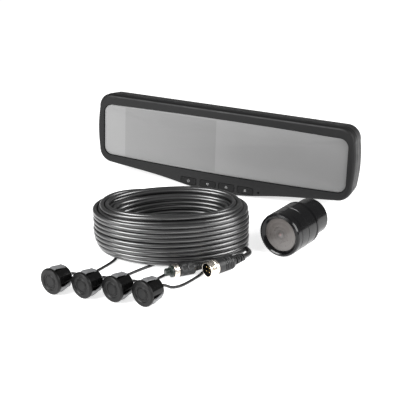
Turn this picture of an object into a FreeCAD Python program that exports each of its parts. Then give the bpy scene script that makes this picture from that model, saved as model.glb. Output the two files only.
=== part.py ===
"""Backup camera kit: a mirror monitor, a flush camera, four bumper sensors and a coiled extension
cable, laid out on one floor.  Millimetres, +Z up, the mirror's long side along X, its back to +Y."""
import FreeCAD
import Part
import math
import os

from FreeCAD import Vector

# ---- where things stand (X, Y of the kit's own frame, headings in degrees) ----
KIT_CENTRE = (0.0, -93.2)          # middle of the kit's footprint, in the layout's coordinates
MIRROR_LEAN = 4.0                  # the housing stands on its drafted underside and leans back
CAMERA_FACE = (115.7, -120.4)      # centre of the camera's front face
CAMERA_HEADING = -10.0
SENSOR_FACES = [(-29.1, -275.5), (-1.6, -270.4), (24.9, -265.1), (51.4, -261.2)]
SENSOR_HEADING = -14.0
COIL_CENTRE = (21.0, -149.5)
COIL_HEADING = 26.0                # direction of the oval coil's long axis
COIL_LIFT = 3.2                    # the coil lies over the four sensor leads
FEMALE_TIP = (44.3, -205.9)        # connector with the coupling sleeve
FEMALE_HEADING = -40.1
MALE_TIP = (75.6, -187.4)          # connector with the pins
MALE_HEADING = -24.5

# ---- mirror monitor ----
MIRROR_HALF = 145.5
MIRROR_TOP = 39.0
MIRROR_CHIN = 50.3
UNDER_BEVEL = 0.6                  # the front edge is rounded less underneath than on top
BEZEL_DEPTH = 8.0
SEAM_W, SEAM_D = 0.5, 0.5          # shadow groove between the bezel and the housing
HOUSING_DEPTH = 33.0
HOUSING_SHOULDER = 24.0
SHOULDER_INSET = 1.4
BACK_INSET = 7.5
HOUSING_WALL = 2.2
GLASS_HALF_W = 137.6
GLASS_HALF_H = 28.9
GLASS_T = 3.0
GLASS_SETBACK = 1.4
GLASS_GAP = 0.25
TAPE_T = 0.5
LEDGE = 3.0
LCD_W, LCD_H, LCD_T = 112.0, 62.0, 3.8
LCD_X = -58.6                      # centre of the picture area behind the half-mirror
BACKLIGHT_T = 2.4
BOARD_W, BOARD_H, BOARD_T = 186.0, 44.0, 1.6
BUTTON_W, BUTTON_H = 17.6, 7.0
BUTTON_X = [-34.4, -12.0, 9.4, 30.8]
BUTTON_Z = -41.8
BUTTON_GAP = 0.4
BUTTON_TRAVEL = 0.6
FRONT_WALL = 3.0
KEY_FLANGE = 0.9
WINDOW_X, WINDOW_R = 45.5, 1.2
SOCKET_W, SOCKET_H, SOCKET_WALL = 16.6, 10.6, 1.9
SOCKET_DEEP = 9.0
SOCKET_PLACE = (-62.0, -16.0)
POST_X, POST_Z, POST_R = 120.0, 23.5, 3.4
SCREW_R, SCREW_HEAD_R, SCREW_LEN = 1.25, 2.8, 9.0

# ---- the mirror's mount ----
BALL_R = 7.0
LINER_T = 1.5
BALL_GAP = 0.05
SOCKET_R = 13.0
SOCKET_FLOOR = 1.4                 # between the ball's cavity and the housing's back
OPENING_BACK = 4.0                 # the socket ends this far behind the ball's centre
NECK_R = 3.2
ARM_R = 5.5
ARM_REACH = (38.0, -9.0)           # second ball from the first, back and up
FOOT_W, FOOT_H, FOOT_T = 30.0, 42.0, 4.0
FOOT_CUP_R = 11.0
FOOT_CUP_MOUTH = 2.2               # how far the cup reaches in front of its ball's centre
FOOT_CUP_FLOOR = 0.4
FOOT_HOLE_R = 2.1
FOOT_HOLE_SPACING = 28.0

# ---- flush camera ----
CAM_R = 20.75
CAM_FRONT_LEN = 34.0
COLLAR_LEN = 3.5
REAR_R = 17.5
CAM_LEN = 60.0
CAM_WALL = 2.6
BEZEL_LEN = 7.5
BEZEL_LIP_R = 17.4
PANE_R, PANE_T = 16.6, 2.0
PANE_SETBACK = 3.2
LENS_R, LENS_LEN = 8.0, 15.0
IMAGE_BOARD_R, IMAGE_BOARD_T = 15.0, 1.6
GLAND_R, GLAND_LEN = 4.2, 3.5

# ---- bumper sensors ----
FLANGE_R, FLANGE_T = 11.75, 2.4
SENSOR_R, SENSOR_LEN = 9.5, 18.5
CUP_R, CUP_LEN = 6.2, 8.0
SEAL_T = 0.9
NUB_R, NUB_LEN = 2.6, 3.0
CLIP_W, CLIP_T, CLIP_RISE = 6.4, 0.7, 1.6
CLIP_ANGLES = [90.0, -30.0, 210.0]

# ---- sensor leads ----
LEAD_D = 2.6
LEAD_COIL_MID = 5.5 * LEAD_D       # radius of the middle turns
LEAD_LAYERS, LEAD_ROWS = 3, 9
PLUG_L, PLUG_W, PLUG_H = 17.0, 8.0, 5.6

# ---- extension cable ----
CABLE_D = 4.5
COIL_HALF_L, COIL_HALF_W = 71.0, 44.5
COIL_WALL = 22.0
COIL_H = 45.0
COIL_ROUND = 6.0
FEM_INSERT_R = 4.4
NUT_GAP = 0.05
NUT_LIP, NUT_WALL, SLEEVE_WALL = 0.55, 1.35, 1.0
FEM_SLEEVE_R = FEM_INSERT_R + NUT_GAP + NUT_LIP + SLEEVE_WALL
FEM_TIP_LEN, FEM_NUT_LEN, FEM_SLEEVE_LEN = 7.9, 4.4, 15.0
FEM_RELIEF_R, FEM_RELIEF_LEN = 3.7, 8.0
MALE_R, MALE_SHELL_WALL = 7.0, 1.1
MALE_BORE_R = MALE_R - MALE_SHELL_WALL
MALE_SHELL_LEN, MALE_BODY_LEN, MALE_RELIEF_LEN = 10.0, 19.5, 13.5
PIN_R, PIN_RING_R = 0.5, 2.7

# ---- routes of the cords, chosen by hand: X, Y in layout coordinates, Z above the floor ----
FEM_Z = FEM_SLEEVE_R
MALE_Z = MALE_R
TAIL_A = [(66.9, -178.6, 6.0), (70.4, -173.6, 5.9), (71.8, -168.3, 5.6), (70.3, -161.5, 5.5)]
TAIL_B = [(93.4, -148.2, 7.0), (95.2, -141.2, 6.7), (93.4, -133.4, 6.1), (85.2, -127.0, 5.6)]
LEADS = [
    [(-23.9, -254.6, 11.75), (-22.2, -247.6, 9.6), (-20.4, -239.6, 4.0), (-17.2, -229.8, 1.35),
     (-14.8, -215.0, 1.35), (-12.3, -196.0, 1.35), (-17.4, -174.0, 1.35), (-25.2, -152.0, 1.35),
     (-31.4, -132.0, 1.35), (-37.8, -119.5, 1.4), (-43.4, -110.0, 1.4)],
    [(3.6, -249.5, 11.75), (5.4, -242.4, 9.6), (7.0, -234.6, 4.0), (9.8, -225.2, 1.35),
     (13.6, -211.8, 1.35), (19.0, -196.8, 1.35), (25.2, -183.0, 1.35), (25.0, -167.0, 1.35),
     (19.3, -151.0, 1.4)],
    [(30.1, -244.2, 11.75), (31.9, -237.2, 9.6), (33.6, -229.8, 4.0), (37.0, -221.4, 1.35),
     (40.2, -209.2, 1.35), (42.6, -197.0, 1.35), (39.6, -180.0, 1.35), (31.4, -164.0, 1.35),
     (23.2, -149.2, 1.4)],
    [(56.6, -240.3, 11.75), (58.4, -233.2, 9.4), (60.8, -225.6, 3.6), (64.6, -214.6, 1.35),
     (68.0, -200.0, 1.35), (70.0, -186.4, 1.35), (68.6, -172.0, 1.35), (63.6, -152.0, 1.35),
     (55.8, -130.0, 1.35), (48.0, -110.0, 1.35), (40.0, -96.0, 1.4), (30.2, -83.2, 1.4)],
]
# centres of the stored lead coils, in the cable coil's own axes (along, across)
LEAD_COILS = [(-25.0, 62.5), (-19.2, 0.0), (19.2, 0.0), (23.0, 62.5)]

PARTS = {}


def vec(x, y, z):
    return Vector(float(x), float(y), float(z))


def add(name, shape):
    """Keeps a finished piece, moved from layout coordinates to the kit's origin."""
    moved = shape.copy()
    moved.translate(vec(-KIT_CENTRE[0], -KIT_CENTRE[1], 0))
    PARTS[name] = moved


def cyl(radius, y0, y1, x=0.0, z=0.0):
    """A cylinder along +Y."""
    return Part.makeCylinder(radius, y1 - y0, vec(x, y0, z), vec(0, 1, 0))


def ring(outer, inner, y0, y1):
    return cyl(outer, y0, y1).cut(cyl(inner, y0 - 1, y1 + 1))


def cone(r0, r1, y0, y1):
    return Part.makeCone(r0, r1, y1 - y0, vec(0, y0, 0), vec(0, 1, 0))


def box(x0, x1, y0, y1, z0, z1):
    return Part.makeBox(x1 - x0, y1 - y0, z1 - z0, vec(x0, y0, z0))


def turned(profile):
    """A solid of revolution about Y from (radius, y) corners."""
    points = [vec(r, y, 0) for r, y in profile]
    face = Part.Face(Part.makePolygon(points + points[:1]))
    return face.revolve(vec(0, 0, 0), vec(0, 1, 0), 360)


def ball(radius, y, z=0.0):
    return Part.makeSphere(radius, vec(0, y, z))


def rounded_bar(w, h, r, y0, y1, x=0.0, z=0.0):
    """A rectangle with round corners in X and Z, carried along Y."""
    bar = box(x - w / 2, x + w / 2, y0, y1, z - h / 2, z + h / 2)
    edges = [e for e in bar.Edges if abs(e.Vertexes[0].Y - e.Vertexes[1].Y) > (y1 - y0) / 2]
    return bar.makeFillet(r, edges)


def arc(a, b, c):
    return Part.Arc(a, b, c).toShape()


def line(a, b):
    return Part.LineSegment(a, b).toShape()


def tube(points, diameter, name):
    """A cord's stretch: straight runs joined by tangent arcs as large as the runs allow."""
    pts = [vec(*p) for p in points]
    edges, start, radii = [], pts[0], []
    for before, corner, after in zip(pts, pts[1:], pts[2:]):
        d_in = (corner - before).normalize()
        d_out = (after - corner).normalize()
        half_turn = d_in.getAngle(d_out) / 2
        trim = 0.45 * min((corner - before).Length, (after - corner).Length)
        radius = trim / math.tan(half_turn)
        radii.append(round(radius, 1))
        a = corner - d_in * trim
        c = corner + d_out * trim
        bisector = (d_out - d_in).normalize()
        middle = corner + bisector * (radius / math.cos(half_turn) - radius)
        edges += [line(start, a), arc(a, middle, c)]
        start = c
    edges.append(line(start, pts[-1]))
    path = Part.Wire(edges)
    circle = Part.Circle(pts[0], (pts[1] - pts[0]).normalize(), diameter / 2)
    profile = Part.Wire([circle.toShape()])
    solid = path.makePipeShell([profile], True, False)
    area = math.pi * diameter ** 2 / 4
    print(name, "radii", radii, "length", round(path.Length, 1),
          "volume ratio", round(solid.Volume / (area * path.Length), 4))
    return solid


def placed(shape, face, heading, height):
    """Turns a piece built along +Y about Z and sets its front face's centre at a floor position."""
    out = shape.copy()
    out.rotate(vec(0, 0, 0), vec(0, 0, 1), heading)
    out.translate(vec(face[0], face[1], height))
    return out


# ------------------------------------------------------------------ mirror monitor

def draft(y):
    """How far the underside has risen at depth y; it is the lean's angle, so it ends up flat."""
    return y * math.tan(math.radians(MIRROR_LEAN))


def outline(inset, y, wall=0.0):
    """The mirror's outline at depth y: flat top, bulging ends and a chin for the buttons."""
    w = MIRROR_HALF - inset - wall
    t = MIRROR_TOP - inset - wall
    up = draft(y) + wall + max(0.0, inset * UNDER_BEVEL if y < BEZEL_DEPTH else 0.0)
    chin = MIRROR_CHIN

    def right(pts):
        return [vec(x, y, z) for x, z in pts]

    top_corner = right([(w - 16, t), (w - 5.4, t - 4.4), (w - 1.7, t - 15)])
    side = right([(w - 1.7, t - 15), (w, 1.0), (w - 1.7, -21.0)])
    low_corner = right([(w - 1.7, -21.0), (w - 5.2, -31.0 + up / 2), (w - 14.5, -36.3 + up)])
    apron = right([(w - 14.5, -36.3 + up), (110, -38.3 + up), (86, -40.6 + up)])
    flank = right([(86, -40.6 + up), (66, -43.0 + up), (47, -46.0 + up)])
    curves = [top_corner, side, low_corner, apron, flank]
    edges = [arc(*c) for c in curves]
    edges.append(arc(vec(47, y, -46.0 + up), vec(0, y, -chin + up), vec(-47, y, -46.0 + up)))
    for c in reversed(curves):
        edges.append(arc(*[vec(-p.x, p.y, p.z) for p in reversed(c)]))
    edges.append(line(vec(-w + 16, y, t), vec(w - 16, y, t)))
    return Part.Wire(Part.__sortEdges__(edges))


def loft(wires):
    return Part.makeLoft(wires, True, True)


def glass_wire(grow, y):
    """The pane's outline: long edges slightly bowed, small round corners."""
    w, h, r = GLASS_HALF_W + grow, GLASS_HALF_H + grow, 9.0 + grow
    k = r * (1 - math.sqrt(0.5))
    s = h - 1.1
    edges = [
        arc(vec(-w + r, y, s), vec(0, y, h + 0.2), vec(w - r, y, s)),
        arc(vec(w - r, y, s), vec(w - k, y, s - k), vec(w, y, s - r)),
        line(vec(w, y, s - r), vec(w, y, -s + r)),
        arc(vec(w, y, -s + r), vec(w - k, y, -s + k), vec(w - r, y, -s)),
        arc(vec(w - r, y, -s), vec(0, y, -h - 1.1), vec(-w + r, y, -s)),
        arc(vec(-w + r, y, -s), vec(-w + k, y, -s + k), vec(-w, y, -s + r)),
        line(vec(-w, y, -s + r), vec(-w, y, s - r)),
        arc(vec(-w, y, s - r), vec(-w + k, y, s - k), vec(-w + r, y, s)),
    ]
    return Part.Wire(edges)


def plate(wire, depth):
    return Part.Face(wire).extrude(vec(0, depth, 0))


def mirror_piece(name, shape):
    """Leans a mirror piece back and stands it on the floor."""
    out = shape.copy()
    out.rotate(vec(0, 0, 0), vec(1, 0, 0), -MIRROR_LEAN)
    out.translate(vec(0, 0, MIRROR_CHIN * math.cos(math.radians(MIRROR_LEAN))))
    add(name, out)


def key_shape(gap, y0, y1, x):
    return rounded_bar(BUTTON_W + 2 * gap, BUTTON_H + 2 * gap, 1.6 + gap, y0, y1, x, BUTTON_Z)


def make_front_bezel():
    edge = [(2.6, 0.0), (1.3, 0.5), (0.45, 1.5), (0.0, 3.0), (0.0, BEZEL_DEPTH)]
    body = loft([outline(inset, y) for inset, y in edge])
    seat = GLASS_SETBACK + GLASS_T + TAPE_T
    body = body.cut(plate(glass_wire(GLASS_GAP, -1), seat + 1))
    body = body.cut(plate(glass_wire(-LEDGE, -1), BEZEL_DEPTH + 2))
    groove = plate(outline(-1, BEZEL_DEPTH - SEAM_W), SEAM_W).cut(
        plate(outline(SEAM_D, BEZEL_DEPTH - SEAM_W), SEAM_W))
    body = body.cut(groove)
    span = (BUTTON_X[-1] - BUTTON_X[0]) + BUTTON_W + 6
    middle = (BUTTON_X[-1] + BUTTON_X[0]) / 2
    pocket_h = BUTTON_H + 2.4
    body = body.cut(rounded_bar(span, pocket_h, 2.0, FRONT_WALL, BEZEL_DEPTH + 1, middle, BUTTON_Z))
    for x in BUTTON_X:
        body = body.cut(key_shape(BUTTON_GAP, -1, FRONT_WALL + 1, x))
    body = body.cut(cyl(WINDOW_R, -1, FRONT_WALL + 1, WINDOW_X, BUTTON_Z))
    for sx in (-1, 1):
        for sz in (-1, 1):
            post = cyl(POST_R, seat, HOUSING_DEPTH - HOUSING_WALL, sx * POST_X, sz * POST_Z)
            body = body.fuse(post)
            body = body.fuse(box(sx * POST_X - 4, sx * POST_X + 4, seat, BEZEL_DEPTH,
                                 min(sz * POST_Z, sz * 28.5), max(sz * POST_Z, sz * 28.5)))
    for sx in (-1, 1):
        for sz in (-1, 1):
            body = body.cut(cyl(SCREW_R, HOUSING_DEPTH - HOUSING_WALL - SCREW_LEN,
                                HOUSING_DEPTH, sx * POST_X, sz * POST_Z))
    mirror_piece("front_bezel", body)


def make_rear_housing():
    steps = [(0.0, BEZEL_DEPTH), (SHOULDER_INSET, HOUSING_SHOULDER), (BACK_INSET, HOUSING_DEPTH)]
    outer = loft([outline(i, y) for i, y in steps])
    inner_steps = [(0.0, BEZEL_DEPTH - 0.01), (SHOULDER_INSET, HOUSING_SHOULDER - 1),
                   (BACK_INSET, HOUSING_DEPTH - HOUSING_WALL)]
    inner = loft([outline(i, y, HOUSING_WALL) for i, y in inner_steps])
    body = outer.cut(inner)
    for sx in (-1, 1):
        for sz in (-1, 1):
            x, z = sx * POST_X, sz * POST_Z
            body = body.cut(cyl(SCREW_R + 0.25, HOUSING_DEPTH - 4, HOUSING_DEPTH + 1, x, z))
            body = body.cut(cyl(SCREW_HEAD_R + 0.3, HOUSING_DEPTH - 1.0, HOUSING_DEPTH + 1, x, z))
    for i in range(9):
        slot = rounded_bar(2.0, 16.0, 0.9, HOUSING_DEPTH - 4, HOUSING_DEPTH + 1, 52 + 5.2 * i, 2.0)
        body = body.cut(slot)
    body = body.cut(rounded_bar(SOCKET_W + 0.3, SOCKET_H + 0.3, 2.2, HOUSING_DEPTH - 4,
                                HOUSING_DEPTH + 1, *SOCKET_PLACE))
    mirror_piece("rear_housing", body)


def make_mirror_inside():
    face = GLASS_SETBACK
    mirror_piece("mirror_glass", plate(glass_wire(0, face), GLASS_T))
    tape = plate(glass_wire(-0.3, face + GLASS_T), TAPE_T).cut(
        plate(glass_wire(-LEDGE, face + GLASS_T - 1), TAPE_T + 2))
    mirror_piece("glass_tape", tape)
    y = BEZEL_DEPTH
    lcd = rounded_bar(LCD_W, LCD_H, 1.0, y, y + LCD_T, LCD_X)
    mirror_piece("lcd_panel", lcd)
    y += LCD_T
    light = rounded_bar(LCD_W, LCD_H, 1.0, y, y + BACKLIGHT_T, LCD_X)
    mirror_piece("lcd_backlight", light)
    y += BACKLIGHT_T
    board = box(LCD_X - 50, LCD_X - 50 + BOARD_W - 10, y, y + BOARD_T, -BOARD_H / 2, BOARD_H / 2)
    chip_y = y + BOARD_T
    for x, z, w, h, t in ((-70, 4, 16, 16, 1.6), (-36, -6, 12, 12, 1.4), (-4, 8, 9, 7, 1.4),
                          (30, -4, 10, 14, 3.0), (52, 8, 8, 8, 5.0)):
        board = board.fuse(box(x, x + w, chip_y, chip_y + t, z - h / 2, z + h / 2))
    buzzer = ring(5.8, 1.0, chip_y, chip_y + 6.5).translated(vec(48, 0, -10))
    mirror_piece("main_board", board.fuse(buzzer))
    wall = 2 * SOCKET_WALL
    inlet = rounded_bar(SOCKET_W, SOCKET_H, 2.0, chip_y, HOUSING_DEPTH + 1.2, *SOCKET_PLACE)
    inlet = inlet.cut(rounded_bar(SOCKET_W - wall, SOCKET_H - wall, 1.2, HOUSING_DEPTH - SOCKET_DEEP,
                                  HOUSING_DEPTH + 2, *SOCKET_PLACE))
    mirror_piece("cable_socket", inlet)


def make_buttons():
    back = BEZEL_DEPTH
    names = ("button_power", "button_down", "button_up", "button_menu")
    for name, x in zip(names, BUTTON_X):
        cap = key_shape(0, -0.25, FRONT_WALL + 0.1, x)
        front = [e for e in cap.Edges if e.BoundBox.YMax < 0]
        cap = cap.makeFillet(0.45, front)
        flange = rounded_bar(BUTTON_W + 1.6, BUTTON_H + 1.4, 1.8, FRONT_WALL + 0.1,
                             FRONT_WALL + 0.1 + KEY_FLANGE, x, BUTTON_Z)
        stem = cyl(1.8, FRONT_WALL + 0.5, back - 0.5, x, BUTTON_Z)
        mirror_piece(name, cap.fuse(flange).fuse(stem))
    middle = (BUTTON_X[-1] + BUTTON_X[0]) / 2
    span = (BUTTON_X[-1] - BUTTON_X[0]) + BUTTON_W + 6
    dome_top = back - 0.5 + BUTTON_TRAVEL + 0.1
    board_y = dome_top + 0.8
    strip = box(middle - span / 2, middle + span / 2, board_y, board_y + 1.2,
                BUTTON_Z + 1.4, BUTTON_Z + 5.0)
    strip = strip.fuse(box(BUTTON_X[0] - 4, BUTTON_X[-1] + 4, board_y, board_y + 1.2,
                           BUTTON_Z - 2.5, BUTTON_Z + 1.4))
    for x in BUTTON_X:
        strip = strip.fuse(cyl(2.6, dome_top, board_y, x, BUTTON_Z))
    for x in (middle - span / 2 + 1.5, middle + span / 2 - 1.5):
        strip = strip.fuse(cyl(1.2, back, board_y, x, BUTTON_Z + 3.6))
    mirror_piece("button_board", strip)
    window = cyl(WINDOW_R, 0.2, FRONT_WALL, WINDOW_X, BUTTON_Z)
    mirror_piece("light_sensor", window)


def make_housing_screws():
    solids = []
    for sx in (-1, 1):
        for sz in (-1, 1):
            x, z = sx * POST_X, sz * POST_Z
            top = HOUSING_DEPTH - 1.0
            screw = cyl(SCREW_HEAD_R, top, top + 1.5, x, z).fuse(
                cyl(SCREW_R, top - SCREW_LEN + 1, top, x, z))
            slot_w, slot_l = 0.7, SCREW_HEAD_R * 1.3
            for w, l in ((slot_w, slot_l), (slot_l, slot_w)):
                screw = screw.cut(box(x - w / 2, x + w / 2, top + 0.5, top + 2, z - l / 2, z + l / 2))
            solids.append(screw)
    mirror_piece("housing_screws", Part.makeCompound(solids))


def make_mount():
    cavity = BALL_R + LINER_T + 2 * BALL_GAP
    centre = HOUSING_DEPTH + SOCKET_FLOOR + cavity
    end = centre + OPENING_BACK
    socket = turned([(0, HOUSING_DEPTH), (SOCKET_R + 5, HOUSING_DEPTH), (SOCKET_R + 5, HOUSING_DEPTH + 2),
                     (SOCKET_R + 1, HOUSING_DEPTH + 4), (SOCKET_R, end - 2), (SOCKET_R - 2.6, end), (0, end)])
    socket = socket.cut(ball(cavity, centre))
    mirror_piece("ball_socket", socket)
    liner = ball(BALL_R + LINER_T + BALL_GAP, centre).cut(ball(BALL_R + BALL_GAP, centre))
    liner = liner.cut(cyl(20, end - 0.6, end + 20))
    liner = liner.cut(cyl(3.0, centre - 20, centre))
    mirror_piece("ball_liner", liner)
    back, up = ARM_REACH
    far = vec(0, centre + back, up)
    near = vec(0, centre, 0)
    way = (far - near).normalize()
    arm = ball(BALL_R, centre).fuse(Part.makeSphere(BALL_R, far))
    arm = arm.fuse(Part.makeCylinder(NECK_R, (far - near).Length, near, way))
    mid_len = (far - near).Length - 2 * (BALL_R + 5.0)
    arm = arm.fuse(Part.makeCone(ARM_R - 0.8, ARM_R, mid_len, near + way * (BALL_R + 5.0), way))
    mirror_piece("mount_arm", arm)
    seat = BALL_R + BALL_GAP
    plate_y = far.y + BALL_R + FOOT_CUP_FLOOR
    cup = Part.makeCylinder(FOOT_CUP_R, plate_y - far.y + FOOT_CUP_MOUTH,
                            far - vec(0, FOOT_CUP_MOUTH, 0), vec(0, 1, 0))
    cup = cup.cut(Part.makeSphere(seat, far))
    foot = rounded_bar(FOOT_W, FOOT_H, 6.0, plate_y, plate_y + FOOT_T, 0, far.z + 4)
    foot = foot.fuse(cup)
    for dz in (-FOOT_HOLE_SPACING / 2, FOOT_HOLE_SPACING / 2):
        foot = foot.cut(cyl(FOOT_HOLE_R, plate_y - 1, plate_y + FOOT_T + 1, 0, far.z + 4 + dz))
    screw_r = 1.5
    pinch = Part.makeCylinder(screw_r, 12, vec(seat + 0.4, far.y + 1.5, far.z), vec(1, 0, 0))
    foot = foot.cut(pinch)
    upright = MIRROR_LEAN

    def turn_upright(shape):
        out = shape.copy()
        out.rotate(far, vec(1, 0, 0), upright)
        return out

    mirror_piece("windshield_foot", turn_upright(foot))
    tip, head = seat + 0.4, FOOT_CUP_R + 1.0
    bolt = Part.makeCylinder(screw_r, head - tip, vec(tip, far.y + 1.5, far.z), vec(1, 0, 0))
    bolt = bolt.fuse(Part.makeCylinder(2.7, 2.4, vec(head, far.y + 1.5, far.z), vec(1, 0, 0)))
    mirror_piece("foot_screw", turn_upright(bolt))


# ------------------------------------------------------------------ camera

def make_camera():
    def keep(name, shape):
        add(name, placed(shape, CAMERA_FACE, CAMERA_HEADING, CAM_R))

    bore = CAM_R - CAM_WALL
    front = turned([(BEZEL_LIP_R, 0.6), (CAM_R - 2.2, 0), (CAM_R - 0.5, 0.7), (CAM_R, 2.4),
                    (CAM_R, BEZEL_LEN), (bore, BEZEL_LEN), (bore, PANE_SETBACK + PANE_T),
                    (PANE_R + 0.1, PANE_SETBACK + PANE_T), (PANE_R + 0.1, PANE_SETBACK),
                    (PANE_R - 0.8, PANE_SETBACK), (PANE_R - 0.8, 2.6)])
    keep("camera_bezel", front)
    groove = 0.35
    shell_end = CAM_FRONT_LEN
    barrel = turned([(bore, BEZEL_LEN), (CAM_R - groove, BEZEL_LEN), (CAM_R - groove, BEZEL_LEN + 0.6),
                     (CAM_R, BEZEL_LEN + 0.9), (CAM_R, 19.0), (CAM_R - groove, 19.2),
                     (CAM_R - groove, 19.8), (CAM_R, 20.0), (CAM_R, shell_end - 1.5),
                     (CAM_R - 1.2, shell_end), (bore - 2, shell_end), (bore - 2, shell_end - 2),
                     (bore, shell_end - 2)])
    keep("camera_barrel", barrel)
    pane = turned([(0, PANE_SETBACK), (PANE_R, PANE_SETBACK), (PANE_R, PANE_SETBACK + PANE_T),
                   (0, PANE_SETBACK + PANE_T)])
    keep("camera_window", pane)
    lens_y = PANE_SETBACK + PANE_T + 0.4
    lens = turned([(4.2, lens_y), (LENS_R, lens_y), (LENS_R, lens_y + LENS_LEN), (0, lens_y + LENS_LEN),
                   (0, lens_y + 4.5), (2.4, lens_y + 4.5)])
    keep("lens_barrel", lens)
    dome = Part.makeSphere(6.0, vec(0, lens_y + 6.6, 0)).common(cyl(2.2, lens_y + 0.4, lens_y + 4.4))
    keep("lens_glass", dome)
    board_y = lens_y + LENS_LEN
    board = cyl(IMAGE_BOARD_R, board_y, board_y + IMAGE_BOARD_T)
    board = board.fuse(box(-5, 5, board_y + IMAGE_BOARD_T, board_y + IMAGE_BOARD_T + 1.4, -4, 4))
    keep("image_board", board)
    collar_end = CAM_FRONT_LEN + COLLAR_LEN
    collar = turned([(REAR_R - CAM_WALL, CAM_FRONT_LEN), (CAM_R - 0.9, CAM_FRONT_LEN),
                     (CAM_R, CAM_FRONT_LEN + 0.8), (CAM_R, collar_end - 0.6), (CAM_R - 0.8, collar_end),
                     (REAR_R - CAM_WALL, collar_end)])
    keep("camera_collar", collar)
    sleeve = turned([(REAR_R - CAM_WALL, collar_end), (REAR_R - 0.6, collar_end), (REAR_R - 0.6, collar_end + 1),
                     (REAR_R, collar_end + 1.2), (REAR_R, CAM_LEN - 2.0), (REAR_R - 1.6, CAM_LEN),
                     (GLAND_R, CAM_LEN), (GLAND_R, CAM_LEN - 3), (REAR_R - CAM_WALL, CAM_LEN - 3)])
    keep("camera_sleeve", sleeve)
    gland = turned([(1.8, CAM_LEN - 6), (GLAND_R + 1, CAM_LEN - 6), (GLAND_R + 1, CAM_LEN - 3),
                    (GLAND_R, CAM_LEN - 3), (GLAND_R, CAM_LEN + 1.5), (GLAND_R - 1, CAM_LEN + GLAND_LEN),
                    (1.8, CAM_LEN + GLAND_LEN)])
    keep("cable_gland", gland)


# ------------------------------------------------------------------ sensors and leads

def clip(angle):
    """A spring leaf: lies on the body at the rear and stands off it towards the flange."""
    y0, y1, y2 = FLANGE_T + 1.0, FLANGE_T + 3.4, SENSOR_LEN - 4.2
    r0 = SENSOR_R - 0.15
    pts = [(r0 + CLIP_RISE * 0.7, y0), (r0 + CLIP_RISE, y1), (r0, y2), (r0 + CLIP_T, y2),
           (r0 + CLIP_RISE + CLIP_T, y1 + 0.4), (r0 + CLIP_RISE * 0.7 + CLIP_T, y0)]
    corners = [vec(0, y, r) for r, y in pts]
    leaf = Part.Face(Part.makePolygon(corners + corners[:1])).extrude(vec(CLIP_W, 0, 0))
    leaf.translate(vec(-CLIP_W / 2, 0, 0))
    foot = box(-CLIP_W / 2, CLIP_W / 2, y2 - 0.5, y2 + 2.2, SENSOR_R - 1.2, r0 + CLIP_T)
    leaf = leaf.fuse(foot)
    leaf.rotate(vec(0, 0, 0), vec(0, 1, 0), 90.0 - angle)
    return leaf


def make_sensors():
    pocket = CUP_R + SEAL_T
    housing = turned([(0, CUP_LEN + 0.4), (pocket, CUP_LEN + 0.4), (pocket, 0.5), (pocket + 0.6, 0.0),
                      (FLANGE_R - 1.2, 0.0), (FLANGE_R - 0.3, 0.5), (FLANGE_R, 1.3), (FLANGE_R, FLANGE_T),
                      (SENSOR_R, FLANGE_T), (SENSOR_R, SENSOR_LEN - 1), (SENSOR_R - 1, SENSOR_LEN),
                      (NUB_R + 0.6, SENSOR_LEN), (NUB_R, SENSOR_LEN + NUB_LEN), (0, SENSOR_LEN + NUB_LEN)])
    clips = Part.makeCompound([clip(a) for a in CLIP_ANGLES])
    housing = housing.cut(clips)
    for angle in (72.0, -12.0):
        hole = Part.makeCylinder(0.8, 3.0, vec(0, SENSOR_LEN - 2.8, SENSOR_R - 1.5), vec(0, 0, 1))
        hole.rotate(vec(0, 0, 0), vec(0, 1, 0), 90.0 - angle)
        housing = housing.cut(hole)
    cup = turned([(0, 0.5), (CUP_R - 1.5, 0.5), (CUP_R - 1.4, 0.8), (CUP_R - 1.1, 0.8), (CUP_R - 1.0, 0.5),
                  (CUP_R - 0.4, 0.5), (CUP_R, 0.9), (CUP_R, CUP_LEN), (0, CUP_LEN)])
    seal = turned([(CUP_R, 0.9), (pocket, 0.7), (pocket, CUP_LEN + 0.4), (0, CUP_LEN + 0.4),
                   (0, CUP_LEN), (CUP_R, CUP_LEN)])
    all_clips, all_seals = [], []
    for i, face in enumerate(SENSOR_FACES):
        def keep(shape):
            return placed(shape, face, SENSOR_HEADING, FLANGE_R)
        add("sensor_%d_housing" % (i + 1), keep(housing))
        add("sensor_%d_transducer" % (i + 1), keep(cup))
        all_clips += keep(clips).Solids
        all_seals.append(keep(seal))
    add("sensor_clips", Part.makeCompound(all_clips))
    add("sensor_seals", Part.makeCompound(all_seals))


def coil_place(along, across):
    """A point in the cable coil's own axes, in layout coordinates."""
    a = math.radians(COIL_HEADING)
    return (COIL_CENTRE[0] + along * math.cos(a) - across * math.sin(a),
            COIL_CENTRE[1] + along * math.sin(a) + across * math.cos(a))


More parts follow.
